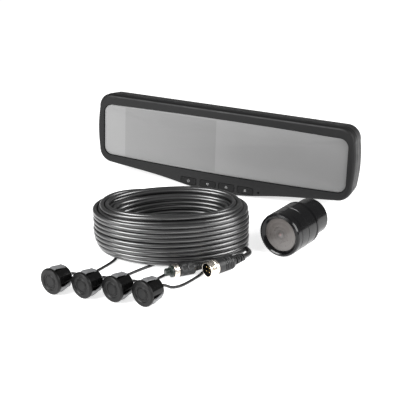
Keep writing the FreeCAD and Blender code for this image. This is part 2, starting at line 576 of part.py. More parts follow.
def make_leads():
    inner = LEAD_COIL_MID - LEAD_LAYERS * LEAD_D / 2
    outer = LEAD_COIL_MID + LEAD_LAYERS * LEAD_D / 2
    height = LEAD_ROWS * LEAD_D
    plugs = []
    for i, (route, spot) in enumerate(zip(LEADS, LEAD_COILS)):
        add("sensor_lead_%d" % (i + 1), tube(route, LEAD_D, "lead %d" % (i + 1)))
        x, y = coil_place(*spot)
        coil = Part.makeCylinder(outer, height, vec(x, y, 0)).cut(
            Part.makeCylinder(inner, height + 2, vec(x, y, -1)))
        add("lead_coil_%d" % (i + 1), coil)
        plug = Part.makeBox(PLUG_L, PLUG_W, PLUG_H, vec(-PLUG_L / 2, -PLUG_W / 2, 0))
        plug = plug.makeFillet(1.2, [e for e in plug.Edges if e.BoundBox.XLength > PLUG_L / 2])
        plug = plug.cut(Part.makeBox(6, PLUG_W - 2.4, PLUG_H - 2.4,
                                     vec(PLUG_L / 2 - 5, -PLUG_W / 2 + 1.2, 1.2)))
        plug = plug.fuse(Part.makeBox(6, 2.4, 1.0, vec(-1, -1.2, PLUG_H - 0.2)))
        plug.rotate(vec(0, 0, 0), vec(0, 0, 1), COIL_HEADING)
        plug.translate(vec(x, y, height))
        plugs.append(plug)
    add("lead_plugs", Part.makeCompound(plugs))


# ------------------------------------------------------------------ extension cable

def oval(half_l, half_w, height):
    ellipse = Part.Ellipse(vec(0, 0, 0), half_l, half_w).toShape()
    return Part.Face(Part.Wire([ellipse])).extrude(vec(0, 0, height))


def make_cable_coil():
    outer = oval(COIL_HALF_L, COIL_HALF_W, COIL_H)
    rims = [e for e in outer.Edges if e.BoundBox.ZLength < 0.01]
    outer = outer.makeFillet(COIL_ROUND, rims)
    hole = oval(COIL_HALF_L - COIL_WALL, COIL_HALF_W - COIL_WALL, COIL_H + 2)
    hole.translate(vec(0, 0, -1))
    coil = outer.cut(hole)
    coil.rotate(vec(0, 0, 0), vec(0, 0, 1), COIL_HEADING)
    coil.translate(vec(COIL_CENTRE[0], COIL_CENTRE[1], COIL_LIFT))
    add("cable_coil", coil)
    add("cable_tail_a", tube(TAIL_A, CABLE_D, "tail a"))
    add("cable_tail_b", tube(TAIL_B, CABLE_D, "tail b"))


def ribbed(outer, inner, y0, y1, count, depth=0.5):
    """A sleeve with shallow grooves round it."""
    body = ring(outer, inner, y0, y1)
    step = (y1 - y0) / count
    for i in range(1, count):
        y = y0 + i * step
        body = body.cut(ring(outer + 1, outer - depth, y - step * 0.2, y + step * 0.2))
    return body


def make_female():
    def keep(name, shape):
        add(name, placed(shape, FEMALE_TIP, FEMALE_HEADING, FEM_Z))

    nut0 = FEM_TIP_LEN
    nut1 = nut0 + FEM_NUT_LEN
    end = nut1 + FEM_SLEEVE_LEN
    insert = cyl(FEM_INSERT_R, 0, end - 4)
    for k in range(4):
        a = math.radians(45 + 90 * k)
        insert = insert.cut(cyl(0.7, -1, 6, 1.9 * math.cos(a), 1.9 * math.sin(a)))
    for x, w in ((0.0, 2.0), (-2.6, 1.0), (2.6, 1.0)):
        insert = insert.cut(box(x - w / 2, x + w / 2, -1, FEM_TIP_LEN - 1.0, FEM_INSERT_R - 1.2, 9))
    keep("female_insert", insert)
    bore = FEM_INSERT_R + NUT_GAP
    nut_r = bore + NUT_WALL
    nut = turned([(bore, nut0), (nut_r - 0.4, nut0), (nut_r, nut0 + 0.4), (nut_r, nut1),
                  (bore + NUT_LIP, nut1), (bore + NUT_LIP, nut1 + 6), (bore, nut1 + 6)])
    keep("coupling_ring", nut)
    sleeve = ribbed(FEM_SLEEVE_R, bore + NUT_LIP, nut1, end, 7)
    keep("coupling_sleeve", sleeve)
    relief = ring(FEM_RELIEF_R, CABLE_D / 2, end + 0.3, end + FEM_RELIEF_LEN)
    relief = relief.fuse(ring(FEM_INSERT_R, CABLE_D / 2, end - 4, end + 0.8))
    for i in range(3):
        y = end + 2.2 + 2.0 * i
        relief = relief.cut(ring(9, FEM_RELIEF_R - 0.6, y, y + 0.9))
    keep("female_relief", relief)


def make_male():
    def keep(name, shape):
        add(name, placed(shape, MALE_TIP, MALE_HEADING, MALE_Z))

    shell_end = MALE_SHELL_LEN
    body_end = shell_end + MALE_BODY_LEN
    end = body_end + MALE_RELIEF_LEN
    shell = ring(MALE_R - 0.35, MALE_BORE_R, 0, shell_end)
    for i in range(5):
        shell = shell.cut(ring(9, MALE_R - 0.7, 1.0 + 1.2 * i, 1.6 + 1.2 * i))
    shell = shell.fuse(ring(MALE_R, MALE_BORE_R, 7.4, shell_end))
    shell = shell.fuse(box(-0.8, 0.8, 1.0, 6.0, -MALE_BORE_R - 0.2, -MALE_BORE_R + 0.7))
    keep("male_shell", shell)
    base = 6.0
    disc = cyl(MALE_BORE_R - 0.05, base, shell_end)
    keep("pin_block", disc)
    pins = []
    for k in range(4):
        a = math.radians(45 + 90 * k)
        x, z = PIN_RING_R * math.cos(a), PIN_RING_R * math.sin(a)
        pin = cyl(PIN_R, 1.6, base, x, z)
        pins.append(pin.fuse(Part.makeSphere(PIN_R, vec(x, 1.6, z))))
    keep("contact_pins", Part.makeCompound(pins))
    body = turned([(0, shell_end), (MALE_R - 0.2, shell_end), (MALE_R - 0.2, body_end - 2.5),
                   (MALE_R - 1.6, body_end), (0, body_end)])
    for i in range(6):
        y = shell_end + 3.0 + 2.2 * i
        body = body.cut(ring(9, MALE_R - 0.75, y, y + 0.9))
    keep("male_body", body)
    relief = cone(4.7, 3.3, body_end, end).cut(cyl(CABLE_D / 2, end - 6, end + 1))
    for i in range(4):
        y = body_end + 2.0 + 2.7 * i
        relief = relief.cut(ring(9, 4.0 - 0.25 * i, y, y + 1.1))
    keep("male_relief", relief)


def main():
    make_front_bezel()
    make_rear_housing()
    make_mirror_inside()
    make_buttons()
    make_housing_screws()
    make_mount()
    make_camera()
    make_sensors()
    make_leads()
    make_cable_coil()
    make_female()
    make_male()
    os.makedirs("parts", exist_ok=True)
    for name, shape in PARTS.items():
        if not shape.isValid():
            print("INVALID", name)
        shape.exportStep("parts/%s.step" % name)
    cords = ("sensor_lead", "lead_coil", "lead_plugs", "cable_coil", "cable_tail", "male_", "pin_",
             "contact_pins")
    own = [s for n, s in PARTS.items() if not n.startswith(cords)]
    low = [min(getattr(s.BoundBox, k) for s in own) for k in ("XMin", "YMin", "ZMin")]
    high = [max(getattr(s.BoundBox, k) for s in own) for k in ("XMax", "YMax", "ZMax")]
    print([(n, round(s.BoundBox.ZMin, 2)) for n, s in PARTS.items() if s.BoundBox.ZMin < 0.02])
    print(len(PARTS), "pieces; box", [round(v, 2) for v in low], [round(v, 2) for v in high])


main()
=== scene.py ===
import math

import bpy
import numpy as np
from bpy.props import FloatProperty, FloatVectorProperty, IntProperty, PointerProperty
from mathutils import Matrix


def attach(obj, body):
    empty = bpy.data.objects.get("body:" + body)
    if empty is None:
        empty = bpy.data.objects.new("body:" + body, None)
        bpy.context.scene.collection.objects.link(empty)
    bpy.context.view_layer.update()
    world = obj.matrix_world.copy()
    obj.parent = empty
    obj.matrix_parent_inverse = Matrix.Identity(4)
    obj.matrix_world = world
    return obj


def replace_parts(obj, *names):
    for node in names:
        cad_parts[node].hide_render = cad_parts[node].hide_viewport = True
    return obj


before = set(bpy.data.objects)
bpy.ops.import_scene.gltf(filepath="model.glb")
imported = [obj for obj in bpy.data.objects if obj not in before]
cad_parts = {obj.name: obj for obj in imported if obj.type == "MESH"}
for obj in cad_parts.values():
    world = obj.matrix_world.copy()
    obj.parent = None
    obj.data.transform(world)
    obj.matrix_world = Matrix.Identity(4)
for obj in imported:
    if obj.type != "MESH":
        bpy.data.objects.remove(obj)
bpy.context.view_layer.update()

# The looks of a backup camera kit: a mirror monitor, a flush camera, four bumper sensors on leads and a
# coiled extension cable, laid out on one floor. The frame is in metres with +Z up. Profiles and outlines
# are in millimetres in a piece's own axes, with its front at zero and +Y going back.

bl_info = {
    "name": "Backup camera kit",
    "version": (1, 0, 0),
    "blender": (4, 5, 0),
    "location": "3D View > Sidebar > Camera Kit",
    "description": "Makes the cords, glass, connectors and finishes of a backup camera kit",
    "category": "Object",
}

MM = 0.001
TURN = 2 * math.pi
SHARP_EDGE = math.radians(34)

# ---- where things stand: layout coordinates in millimetres, headings in degrees ----
KIT_CENTRE = np.array([0.0, -93.2, 0.0])
MIRROR_LEAN, MIRROR_LIFT = 4.0, 50.3
CAMERA_FACE, CAMERA_HEADING, CAMERA_AXIS = (115.7, -120.4), -10.0, 20.75
SENSOR_FACES = [(-29.1, -275.5), (-1.6, -270.4), (24.9, -265.1), (51.4, -261.2)]
SENSOR_HEADING, SENSOR_AXIS = -14.0, 11.75
COIL_CENTRE, COIL_HEADING, COIL_LIFT = (21.0, -149.5), 26.0, 3.2
LEAD_COILS = [(-25.0, 62.5), (-19.2, 0.0), (19.2, 0.0), (23.0, 62.5)]
FEMALE_TIP, FEMALE_HEADING, FEMALE_AXIS = (44.3, -205.9), -40.1, 6.0
MALE_TIP, MALE_HEADING, MALE_AXIS = (75.6, -187.4), -24.5, 7.0

# ---- routes of the cords, in metres, in layout coordinates ----
TAIL_A = [(0.0669, -0.1786, 0.0060), (0.0704, -0.1736, 0.0059), (0.0718, -0.1683, 0.0056),
          (0.0703, -0.1615, 0.0055)]
TAIL_B = [(0.0934, -0.1482, 0.0070), (0.0952, -0.1412, 0.0067), (0.0934, -0.1334, 0.0061),
          (0.0852, -0.1270, 0.0056)]
LEADS = [
    [(-0.0239, -0.2546, 0.01175), (-0.0222, -0.2476, 0.0096), (-0.0204, -0.2396, 0.0040),
     (-0.0172, -0.2298, 0.00135), (-0.0148, -0.2150, 0.00135), (-0.0123, -0.1960, 0.00135),
     (-0.0174, -0.1740, 0.00135), (-0.0252, -0.1520, 0.00135), (-0.0314, -0.1320, 0.00135),
     (-0.0378, -0.1195, 0.0014), (-0.0434, -0.1100, 0.0014)],
    [(0.0036, -0.2495, 0.01175), (0.0054, -0.2424, 0.0096), (0.0070, -0.2346, 0.0040),
     (0.0098, -0.2252, 0.00135), (0.0136, -0.2118, 0.00135), (0.0190, -0.1968, 0.00135),
     (0.0252, -0.1830, 0.00135), (0.0250, -0.1670, 0.00135), (0.0193, -0.1510, 0.0014)],
    [(0.0301, -0.2442, 0.01175), (0.0319, -0.2372, 0.0096), (0.0336, -0.2298, 0.0040),
     (0.0370, -0.2214, 0.00135), (0.0402, -0.2092, 0.00135), (0.0426, -0.1970, 0.00135),
     (0.0396, -0.1800, 0.00135), (0.0314, -0.1640, 0.00135), (0.0232, -0.1492, 0.0014)],
    [(0.0566, -0.2403, 0.01175), (0.0584, -0.2332, 0.0094), (0.0608, -0.2256, 0.0036),
     (0.0646, -0.2146, 0.00135), (0.0680, -0.2000, 0.00135), (0.0700, -0.1864, 0.00135),
     (0.0686, -0.1720, 0.00135), (0.0636, -0.1520, 0.00135), (0.0558, -0.1300, 0.00135),
     (0.0480, -0.1100, 0.00135), (0.0400, -0.0960, 0.0014), (0.0302, -0.0832, 0.0014)],
]


# ---- what a user may change ----

def length(name, text, default):
    return FloatProperty(name=name, description=text, default=default, unit="LENGTH", precision=5)


def colour(name, text, default):
    return FloatVectorProperty(name=name, description=text, default=default, subtype="COLOR", size=3,
                               min=0.0, max=1.0)


def portion(name, text, default):
    return FloatProperty(name=name, description=text, default=default, subtype="FACTOR")


def watts(name, text, default):
    return FloatProperty(name=name, description=text, default=default, unit="POWER")


def whole_number(name, text, default, least=0):
    return IntProperty(name=name, description=text, default=default, min=least)


class CableSettings(bpy.types.PropertyGroup):
    thickness: length("Thickness", "Outer diameter of the extension cable", 0.0045)
    whole: length("Length", "Length of the extension cable from connector to connector", 15.0)
    half_length: length("Half length", "Half the long axis of the outermost turns", 0.06875)
    half_width: length("Half width", "Half the short axis of the outermost turns", 0.04225)
    layer_step: length("Layer step", "Distance from one layer of turns to the next", 0.004375)
    points: whole_number("Points per turn", "Control points on each turn", 16, 12)
    slack: length("Slack", "How far a turn strays from its place", 0.0003)
    seed: whole_number("Seed", "Which random strays are drawn", 11)
    jacket: colour("Jacket", "Colour of the cable's jacket", (0.008, 0.008, 0.0083))


class LeadSettings(bpy.types.PropertyGroup):
    thickness: length("Thickness", "Outer diameter of a sensor lead", 0.0026)
    whole: length("Length", "Length of a sensor lead", 2.5)
    points: whole_number("Points per turn", "Control points on each turn", 12, 12)
    jacket: colour("Jacket", "Colour of the leads", (0.006, 0.006, 0.006))
    plug: colour("Plug", "Colour of the leads' plugs", (0.02, 0.02, 0.021))


class MirrorSettings(bpy.types.PropertyGroup):
    plastic: colour("Plastic", "Colour of the bezel and the housing", (0.008, 0.008, 0.0083))
    keys: colour("Keys", "Colour of the four buttons", (0.004, 0.004, 0.0042))
    print_colour: colour("Marks", "Colour of the marks on the buttons", (0.30, 0.30, 0.30))
    edge: length("Ground edge", "Width of the glass's ground edge", 0.0009)
    # The glass's grey at each end: the fall from the left end to the right end is a painted reflection.
    bright: portion("Bright end", "Tone of the glass at its left end", 0.26)
    right_end_with_painted_reflection: portion("Dim end", "Tone of the glass at its right end", 0.16)
    picture: portion("Picture field", "Tone of the picture field against the glass beside it", 0.84)


class CameraSettings(bpy.types.PropertyGroup):
    body: colour("Body", "Colour of the camera's barrel", (0.004, 0.004, 0.0045))
    window: colour("Window", "Tone of the window", (0.096, 0.087, 0.082))
    # The pink over the lens is partly the coating's tint and partly a painted glint.
    coating_and_painted_glint: colour("Lens coating", "Tint of the lens in the middle", (0.22, 0.15, 0.15))


class SensorSettings(bpy.types.PropertyGroup):
    body: colour("Body", "Colour of a sensor's barrel", (0.004, 0.004, 0.004))
    flange: colour("Flange", "Colour of a sensor's flange and face", (0.004, 0.004, 0.0041))
    clips: colour("Clips", "Colour of the spring clips", (0.16, 0.162, 0.166))


class ConnectorSettings(bpy.types.PropertyGroup):
    plating: colour("Plating", "Colour of the plated rings", (0.80, 0.74, 0.66))
    contacts: colour("Contacts", "Colour of the pins", (0.83, 0.60, 0.26))
    grip: colour("Grip", "Colour of the moulded grips", (0.012, 0.012, 0.0125))
    thread: length("Thread pitch", "From one turn of the thread to the next", 0.0011)
    ridges: whole_number("Ridges", "Ridges round the coupling sleeve", 40)


class StageSettings(bpy.types.PropertyGroup):
    floor: colour("Floor", "Colour of the floor", (0.90, 0.90, 0.90))
    surround: FloatProperty(name="Surround", description="Brightness of the room", default=0.22)
    key: watts("Key light", "Power of the light over the left", 15.0)
    fill: watts("Fill light", "Power of the light on the right", 9.0)
    eye: FloatVectorProperty(name="Camera", description="Where the camera stands", size=3,
                             default=(0.44665, -0.86813, 0.4197), subtype="TRANSLATION")
    lens: FloatProperty(name="Lens", description="Focal length in millimetres", default=97.96)


# ---- places ----

def rotated(u, v, angle):
    """Two coordinates turned by an angle, from the first towards the second."""
    return u * math.cos(angle) - v * math.sin(angle), u * math.sin(angle) + v * math.cos(angle)


def upright(points, face, heading, height):
    """A piece built along +Y in millimetres, turned by its heading about Z and set with its front at a
    place on the layout: a rotation, a shift and the change to metres."""
    x, y, z = np.moveaxis(np.asarray(points, float), -1, 0)
    x, y = rotated(x, y, math.radians(heading))
    return (np.stack([x + face[0], y + face[1], z + height], -1) - KIT_CENTRE) * MM


def leaned(points):
    """A mirror piece in its own upright axes, leaned back by turning about X and lifted to the floor."""
    lean = math.radians(MIRROR_LEAN)
    x, y, z = np.moveaxis(np.asarray(points, float), -1, 0)
    y, z = rotated(y, z, -lean)
    return (np.stack([x, y, z + MIRROR_LIFT * math.cos(lean)], -1) - KIT_CENTRE) * MM


def on_layout(points):
    return np.asarray(points, float) - KIT_CENTRE * MM


def coil_place(along, across):
    """A point in the cable coil's own axes, on the layout, in millimetres."""
    x, y = rotated(along, across, math.radians(COIL_HEADING))
    return np.stack([COIL_CENTRE[0] + x, COIL_CENTRE[1] + y], -1)


# ---- surfaces ----

def placed(name, data):
    """A new object in the scene that shows this data."""
    obj = bpy.data.objects.new(name, data)
    bpy.context.scene.collection.objects.link(obj)
    return obj


def mesh_piece(name, verts, quads, tris, material, body):
    """A closed mesh, turned so that its volume is positive, which points every face outwards."""
    def six_volumes(t):
        a, b, c = verts[t[:, 0]], verts[t[:, 1]], verts[t[:, 2]]
        return np.einsum("ij,ij->", a, np.cross(b, c))
    volume = six_volumes(quads[:, [0, 1, 2]]) + six_volumes(quads[:, [0, 2, 3]])
    if len(tris):
        volume += six_volumes(tris)
    if volume < 0:
        quads, tris = quads[:, ::-1], tris[:, ::-1]
    mesh = bpy.data.meshes.new(name)
    mesh.from_pydata(verts, [], quads.tolist() + tris.tolist())
    mesh.shade_smooth()
    mesh.set_sharp_from_angle(angle=SHARP_EDGE)
    obj = placed(name, mesh)
    mesh.materials.append(material)
    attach(obj, body)
    return obj


def shell(name, rings, material, body, closed=False):
    """A skin over rings of points (rings x points x 3), each ring joined to the next. closed joins the
    last ring to the first, as on a hoop; otherwise each end is closed by a fan to its middle."""
    count, size = rings.shape[:2]
    verts = rings.reshape(-1, 3)
    row = np.arange(count if closed else count - 1)[:, None]
    col = np.arange(size)[None, :]
    after, beside = (row + 1) % count, (col + 1) % size
    quads = np.stack([row * size + col, row * size + beside, after * size + beside,
                      after * size + col], -1).reshape(-1, 4)
    tris = np.zeros((0, 3), int)
    if not closed:
        first, last = len(verts), len(verts) + 1
        verts = np.concatenate([verts, rings[:1].mean(1), rings[-1:].mean(1)])
        c, b = np.arange(size), (np.arange(size) + 1) % size
        end = (count - 1) * size
        tris = np.concatenate([np.stack([b, c, np.full(size, first)], -1),
                               np.stack([end + c, end + b, np.full(size, last)], -1)])
    return mesh_piece(name, verts, quads, tris, material, body)


def softened(profile, reach=0.15):
    """A profile whose corners are cut to a short curve: each corner becomes two points a reach away on
    its two sides and the middle of the parabola between them."""
    p = np.asarray(profile, float)
    before, corner, after = p[:-2], p[1:-1], p[2:]

    def towards(q):
        gap = np.linalg.norm(q - corner, axis=1, keepdims=True)
        return corner + (q - corner) * np.minimum(reach / gap, 0.4)
    a, c = towards(before), towards(after)
    middle = 0.25 * a + 0.5 * corner + 0.25 * c
    inner = np.stack([a, middle, c], 1).reshape(-1, 2)
    return np.concatenate([p[:1], inner, p[-1:]])


def dense(profile, step):
    """The same profile with points at most a step apart, so that a pattern can be worked into it."""
    p = np.asarray(profile, float)
    gaps = np.linalg.norm(np.diff(p, axis=0), axis=1)
    at = np.concatenate([[0.0], np.cumsum(gaps)])
    wanted = np.unique(np.concatenate([at, np.arange(0, at[-1], step)]))
    return np.stack([np.interp(wanted, at, p[:, k]) for k in (0, 1)], -1)


def turned(profile, sides, cut=None):
    """Rings of a turned piece about Y: radius and distance along from the profile, the angle round.
    cut(radius, along, angle) gives how much is taken off the radius there."""
    angle = np.arange(sides) * TURN / sides
    radius, along = profile[:, :1], profile[:, 1:]
    if cut is not None:
        radius = radius - cut(radius, along, angle[None, :])
    radius = np.broadcast_to(radius, (len(profile), sides))
    along = np.broadcast_to(along, radius.shape)
    return np.stack([radius * np.cos(angle), along, radius * np.sin(angle)], -1)


def band(value, low, high, soft):
    """1 between low and high and 0 outside, with a smooth ramp on each side."""
    up = np.clip((value - low) / soft + 0.5, 0, 1)
    down = np.clip((high - value) / soft + 0.5, 0, 1)
    edge = np.minimum(up, down)
    return edge * edge * (3 - 2 * edge)


def arc_through(a, b, c, count):
    """Points on the circle through three points, from the first by the second to the third: the
    centre is where the perpendicular bisectors meet, and the angle runs evenly."""
    a, b, c = (np.array(p, float) for p in (a, b, c))
    d = 2 * (a[0] * (b[1] - c[1]) + b[0] * (c[1] - a[1]) + c[0] * (a[1] - b[1]))
    sq = [p @ p for p in (a, b, c)]
    centre = np.array([sq[0] * (b[1] - c[1]) + sq[1] * (c[1] - a[1]) + sq[2] * (a[1] - b[1]),
                       sq[0] * (c[0] - b[0]) + sq[1] * (a[0] - c[0]) + sq[2] * (b[0] - a[0])]) / d
    start, middle, end = (math.atan2(*(p - centre)[::-1]) for p in (a, b, c))
    to_middle, to_end = (middle - start) % TURN, (end - start) % TURN
    sweep = to_end if to_middle < to_end else to_end - TURN
    angle = start + sweep * np.linspace(0, 1, count)
    return centre + np.linalg.norm(a - centre) * np.stack([np.cos(angle), np.sin(angle)], -1)


def drawn_in(outline, inset):
    """A closed outline moved inwards: each point goes along the normal of its neighbours' chord."""
    chord = np.roll(outline, -1, 0) - np.roll(outline, 1, 0)
    normal = np.stack([-chord[:, 1], chord[:, 0]], -1)
    normal /= np.linalg.norm(normal, axis=1, keepdims=True)
    middle = outline.mean(0)
    inward = np.sign(np.einsum("ij,ij->i", middle - outline, normal))[:, None]
    return outline + normal * inward * inset


# ---- shared effects ----

def node(tree, kind, inputs=(), **settings):
    """A new node; inputs is a dict of socket to number, colour or the socket that feeds it."""
    made = tree.nodes.new("ShaderNode" + kind)
    for key, value in settings.items():
        setattr(made, key, value)
    for key, value in dict(inputs).items():
        if isinstance(value, bpy.types.NodeSocket):
            tree.links.new(value, made.inputs[key])
        else:
            made.inputs[key].default_value = value
    return made


def effect(name, inputs, outputs):
    """An empty shader node group with named sockets, and its input and output nodes."""
    tree = bpy.data.node_groups.new(name, "ShaderNodeTree")
    for direction, sockets in (("INPUT", inputs), ("OUTPUT", outputs)):
        for label, kind in sockets.items():
            tree.interface.new_socket(label, in_out=direction, socket_type="NodeSocket" + kind)
    return tree, tree.nodes.new("NodeGroupInput").outputs, tree.nodes.new("NodeGroupOutput").inputs


def maths(tree, operation, a, b):
    """One arithmetic step on two numbers or sockets."""
    return node(tree, "Math", {0: a, 1: b}, operation=operation).outputs[0]


def axis_distance(tree, own):
    """Distance from the Y axis of a lying piece's own axes."""
    part = node(tree, "SeparateXYZ", {0: own}).outputs
    flat = node(tree, "CombineXYZ", {"X": part["X"], "Z": part["Z"]}).outputs[0]
    return node(tree, "VectorMath", {0: flat}, operation="LENGTH").outputs["Value"]


def grain_effect():
    """Moulding texture: fine noise over small cells. Height for bump, Tone for colour."""
    tree, given, out = effect("Moulding grain", {"Vector": "Vector", "Size": "Float"},
                              {"Height": "Float", "Tone": "Float"})
    scale = maths(tree, "DIVIDE", 1.0, given["Size"])
    fine = node(tree, "TexNoise", {"Vector": given["Vector"], "Scale": scale, "Detail": 3.0})
    cells = node(tree, "TexVoronoi", {"Vector": given["Vector"], "Scale": scale})
    both = maths(tree, "MULTIPLY", fine.outputs[0], cells.outputs["Distance"])
    tree.links.new(both, out["Height"])
    tree.links.new(fine.outputs[0], out["Tone"])
    return tree


def handling_effect():
    """Handling marks: roughness wanders between two values in soft patches with finer streaks."""
    tree, given, out = effect("Handling marks", {"Vector": "Vector", "Size": "Float", "Least": "Float",
                                                 "Most": "Float"}, {"Roughness": "Float"})
    scale = maths(tree, "DIVIDE", 1.0, given["Size"])
    patches = node(tree, "TexNoise", {"Vector": given["Vector"], "Scale": scale, "Detail": 4.0,
                                      "Distortion": 0.6})
    spread = node(tree, "MapRange", {"Value": patches.outputs[0], "From Min": 0.3, "From Max": 0.7,
                                     "To Min": given["Least"], "To Max": given["Most"]})
    tree.links.new(spread.outputs[0], out["Roughness"])
    return tree


def shade_effect():
    """Uneven colour: the colour times one plus or minus a share, in soft patches."""
    tree, given, out = effect("Uneven colour", {"Vector": "Vector", "Size": "Float", "Colour": "Color",
                                                "Share": "Float"}, {"Colour": "Color"})
    scale = maths(tree, "DIVIDE", 1.0, given["Size"])
    patches = node(tree, "TexNoise", {"Vector": given["Vector"], "Scale": scale, "Detail": 2.0})
    swing = maths(tree, "SUBTRACT", patches.outputs[0], 0.5)
    change = maths(tree, "ADD", maths(tree, "MULTIPLY", swing, given["Share"]), 1.0)
    shaded = node(tree, "VectorMath", {0: given["Colour"], "Scale": change}, operation="SCALE")
    tree.links.new(shaded.outputs[0], out["Colour"])
    return tree


def lathe_effect():
    """Turning marks: fine rings about the Y axis of the vector given, as a lathe leaves them."""
    tree, given, out = effect("Turning marks", {"Vector": "Vector", "Step": "Float"},
                              {"Height": "Float"})
    along = node(tree, "SeparateXYZ", {0: given["Vector"]}).outputs["Y"]
    both = maths(tree, "ADD", axis_distance(tree, given["Vector"]), along)
    steps = maths(tree, "DIVIDE", both, given["Step"])
    line = node(tree, "TexNoise", {"W": steps, "Scale": 1.0, "Detail": 2.0}, noise_dimensions="1D")
    tree.links.new(line.outputs[0], out["Height"])
    return tree


EFFECTS = {}


def make_effects():
    """Builds each shared effect once."""
    EFFECTS.update(grain=grain_effect(), handling=handling_effect(), shade=shade_effect(),
                   lathe=lathe_effect())


def use(tree, name, inputs):
    """A placed effect's outputs."""
    return node(tree, "Group", inputs, node_tree=EFFECTS[name]).outputs


# ---- finishes ----

LINING_BLACK = (0.006, 0.006, 0.006)


def rgba(c):
    return (*c[:3], 1.0)


def plain_material(name, **sockets):
    """A material whose shader has these plain values, its tree, shader and object coordinates."""
    material = bpy.data.materials.new(name)
    material.use_nodes = True
    tree = material.node_tree
    shader = tree.nodes["Principled BSDF"]
    for key, value in sockets.items():
        shader.inputs[key.replace("_", " ")].default_value = value
    return material, tree, shader, node(tree, "TexCoord").outputs["Object"]


def coloured(tree, shader, place, size, tint, share):
    """The shader's colour: the tint, uneven in patches of this size."""
    shade = use(tree, "shade", {"Vector": place, "Size": size, "Colour": tint, "Share": share})
    tree.links.new(shade["Colour"], shader.inputs["Base Color"])


def handled(tree, shader, place, size, least, most):
    """The shader's roughness: handling marks of this size."""
    marks = use(tree, "handling", {"Vector": place, "Size": size, "Least": least, "Most": most})
    tree.links.new(marks["Roughness"], shader.inputs["Roughness"])


def bumped(tree, shader, height, depth):
    """The shader's relief, its highest places a depth in metres above its lowest."""
    bump = node(tree, "Bump", {"Height": height, "Distance": depth, "Strength": 1.0})
    tree.links.new(bump.outputs[0], shader.inputs["Normal"])


def moulded(name, tint, least, most, grain=0.00045, depth=0.00002, share=0.25, **sockets):
    """Moulded plastic or rubber: uneven colour, handling marks and a moulding grain."""
    material, tree, shader, place = plain_material(name, **sockets)
    coloured(tree, shader, place, 0.012, rgba(tint), share)
    handled(tree, shader, place, 0.009, least, most)
    bumped(tree, shader, use(tree, "grain", {"Vector": place, "Size": grain})["Height"], depth)
    return material


def plated(name, tint, least, most, face, heading, height, lining=0.0):
    """Plated metal with turning marks about the piece's own axis, and a black lining inside a radius
    given in millimetres."""
    material, tree, shader, place = plain_material(name, Metallic=1.0)
    own = own_axes(tree, place, face, heading, height)
    tone = use(tree, "shade", {"Vector": place, "Size": 0.002, "Colour": rgba(tint),
                               "Share": 0.25})["Colour"]
    if lining:
        metal = maths(tree, "GREATER_THAN", axis_distance(tree, own), lining * MM)
        tree.links.new(metal, shader.inputs["Metallic"])
        tone = node(tree, "Mix", {0: metal, 6: rgba(LINING_BLACK), 7: tone},
                    data_type="RGBA").outputs[2]
    tree.links.new(tone, shader.inputs["Base Color"])
    handled(tree, shader, place, 0.0015, least, most)
    bumped(tree, shader, use(tree, "lathe", {"Vector": own, "Step": 0.0004})["Height"], 0.000006)
    return material


def own_axes(tree, place, face, heading, height):
    """Object coordinates seen from a lying piece's front, its axis along Y."""
    origin = upright(np.zeros(3), face, heading, height)
    return node(tree, "Mapping", {"Vector": place, "Location": tuple(origin),
                                  "Rotation": (0, 0, math.radians(heading))},
                vector_type="TEXTURE").outputs[0]


def dress(material, *names):
    """Gives CAD nodes a finish through their objects' material slots."""
    for name in names:
        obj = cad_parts[name]
        if not obj.material_slots:
            obj.data.materials.append(material)
        for place in obj.material_slots:
            place.material = material


# ---- cords ----

def cord_curve(name, points, thickness, material, body, smooth, sides):
    """A round cord on one smooth curve through its route and its turns."""
    curve = bpy.data.curves.new(name, "CURVE")
    curve.dimensions = "3D"
    spline = curve.splines.new("NURBS")
    spline.points.add(len(points) - 1)
    spline.points.foreach_set("co", np.c_[points, np.ones(len(points))].ravel())
    spline.order_u = 3
    spline.use_endpoint_u = True
    spline.resolution_u = smooth
    curve.resolution_u = smooth
    curve.bevel_depth = thickness / 2
    curve.bevel_resolution = sides
    curve.use_fill_caps = True
    curve.materials.append(material)
    obj = placed(name, curve)
    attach(obj, body)
    return obj


def widened(points_per_turn):
    """A quadratic spline runs inside the circle of its control points by this factor."""
    return 1 / (0.75 + 0.25 * math.cos(TURN / points_per_turn))


JOIN, LEAVE = math.radians(-66), math.radians(-13)   # where the first turn starts, the last ends
STEP_AT, STEP_SHARE = 0.37, 0.25   # which part of a turn passes to the next turn's place
SPREAD = 0.6   # how much of the slack each harmonic takes
LOOSE_TURNS, LOOSENESS = range(28, 31), 2.2   # these turns stray that much more
TUCK, BULGE, TILT = 6.0, 1.0, 0.7   # millimetres in at the foot, out at the belly, up at one side
TUCK_AT, BULGE_AT, TILT_AT = (math.radians(a) for a in (198, 5, -50))   # where round the coil
TUCK_BELOW, COIL_TOP, LOWEST = 15.0, 42.0, 2.2   # heights: tuck's end, belly's end, least centreline


def wound_cells():
    """The order in which the cable's turns were laid: (layer, height above the coil's foot) for each.
    Layer 0 is outermost. The inner three layers go up, down and up, two loose turns lie on top, and
    the outer two layers come down together."""
    rows, foot, top = 9, 2.25, {0: 38.3, 1: 39.0, 2: 39.4, 3: 39.0, 4: 38.3}

    def height(layer, row):
        return foot + (top[layer] - foot) * row / (rows - 1)
    cells = [(4, height(4, r)) for r in range(rows)]
    cells += [(3, height(3, r)) for r in reversed(range(rows))]
    cells += [(2, height(2, r)) for r in range(rows)]
    cells += [(2.5, 42.9), (1.4, 43.0)]
    for k, row in enumerate(reversed(range(rows))):
        pair = (1, 0) if k % 2 == 0 else (0, 1)
        cells += [(layer, height(layer, row)) for layer in pair]
    return np.array(cells)


INNER_BEND = np.array([(40.2, -27.4), (38.4, -22.6), (33.6, -19.6), (27.6, -20.0)])


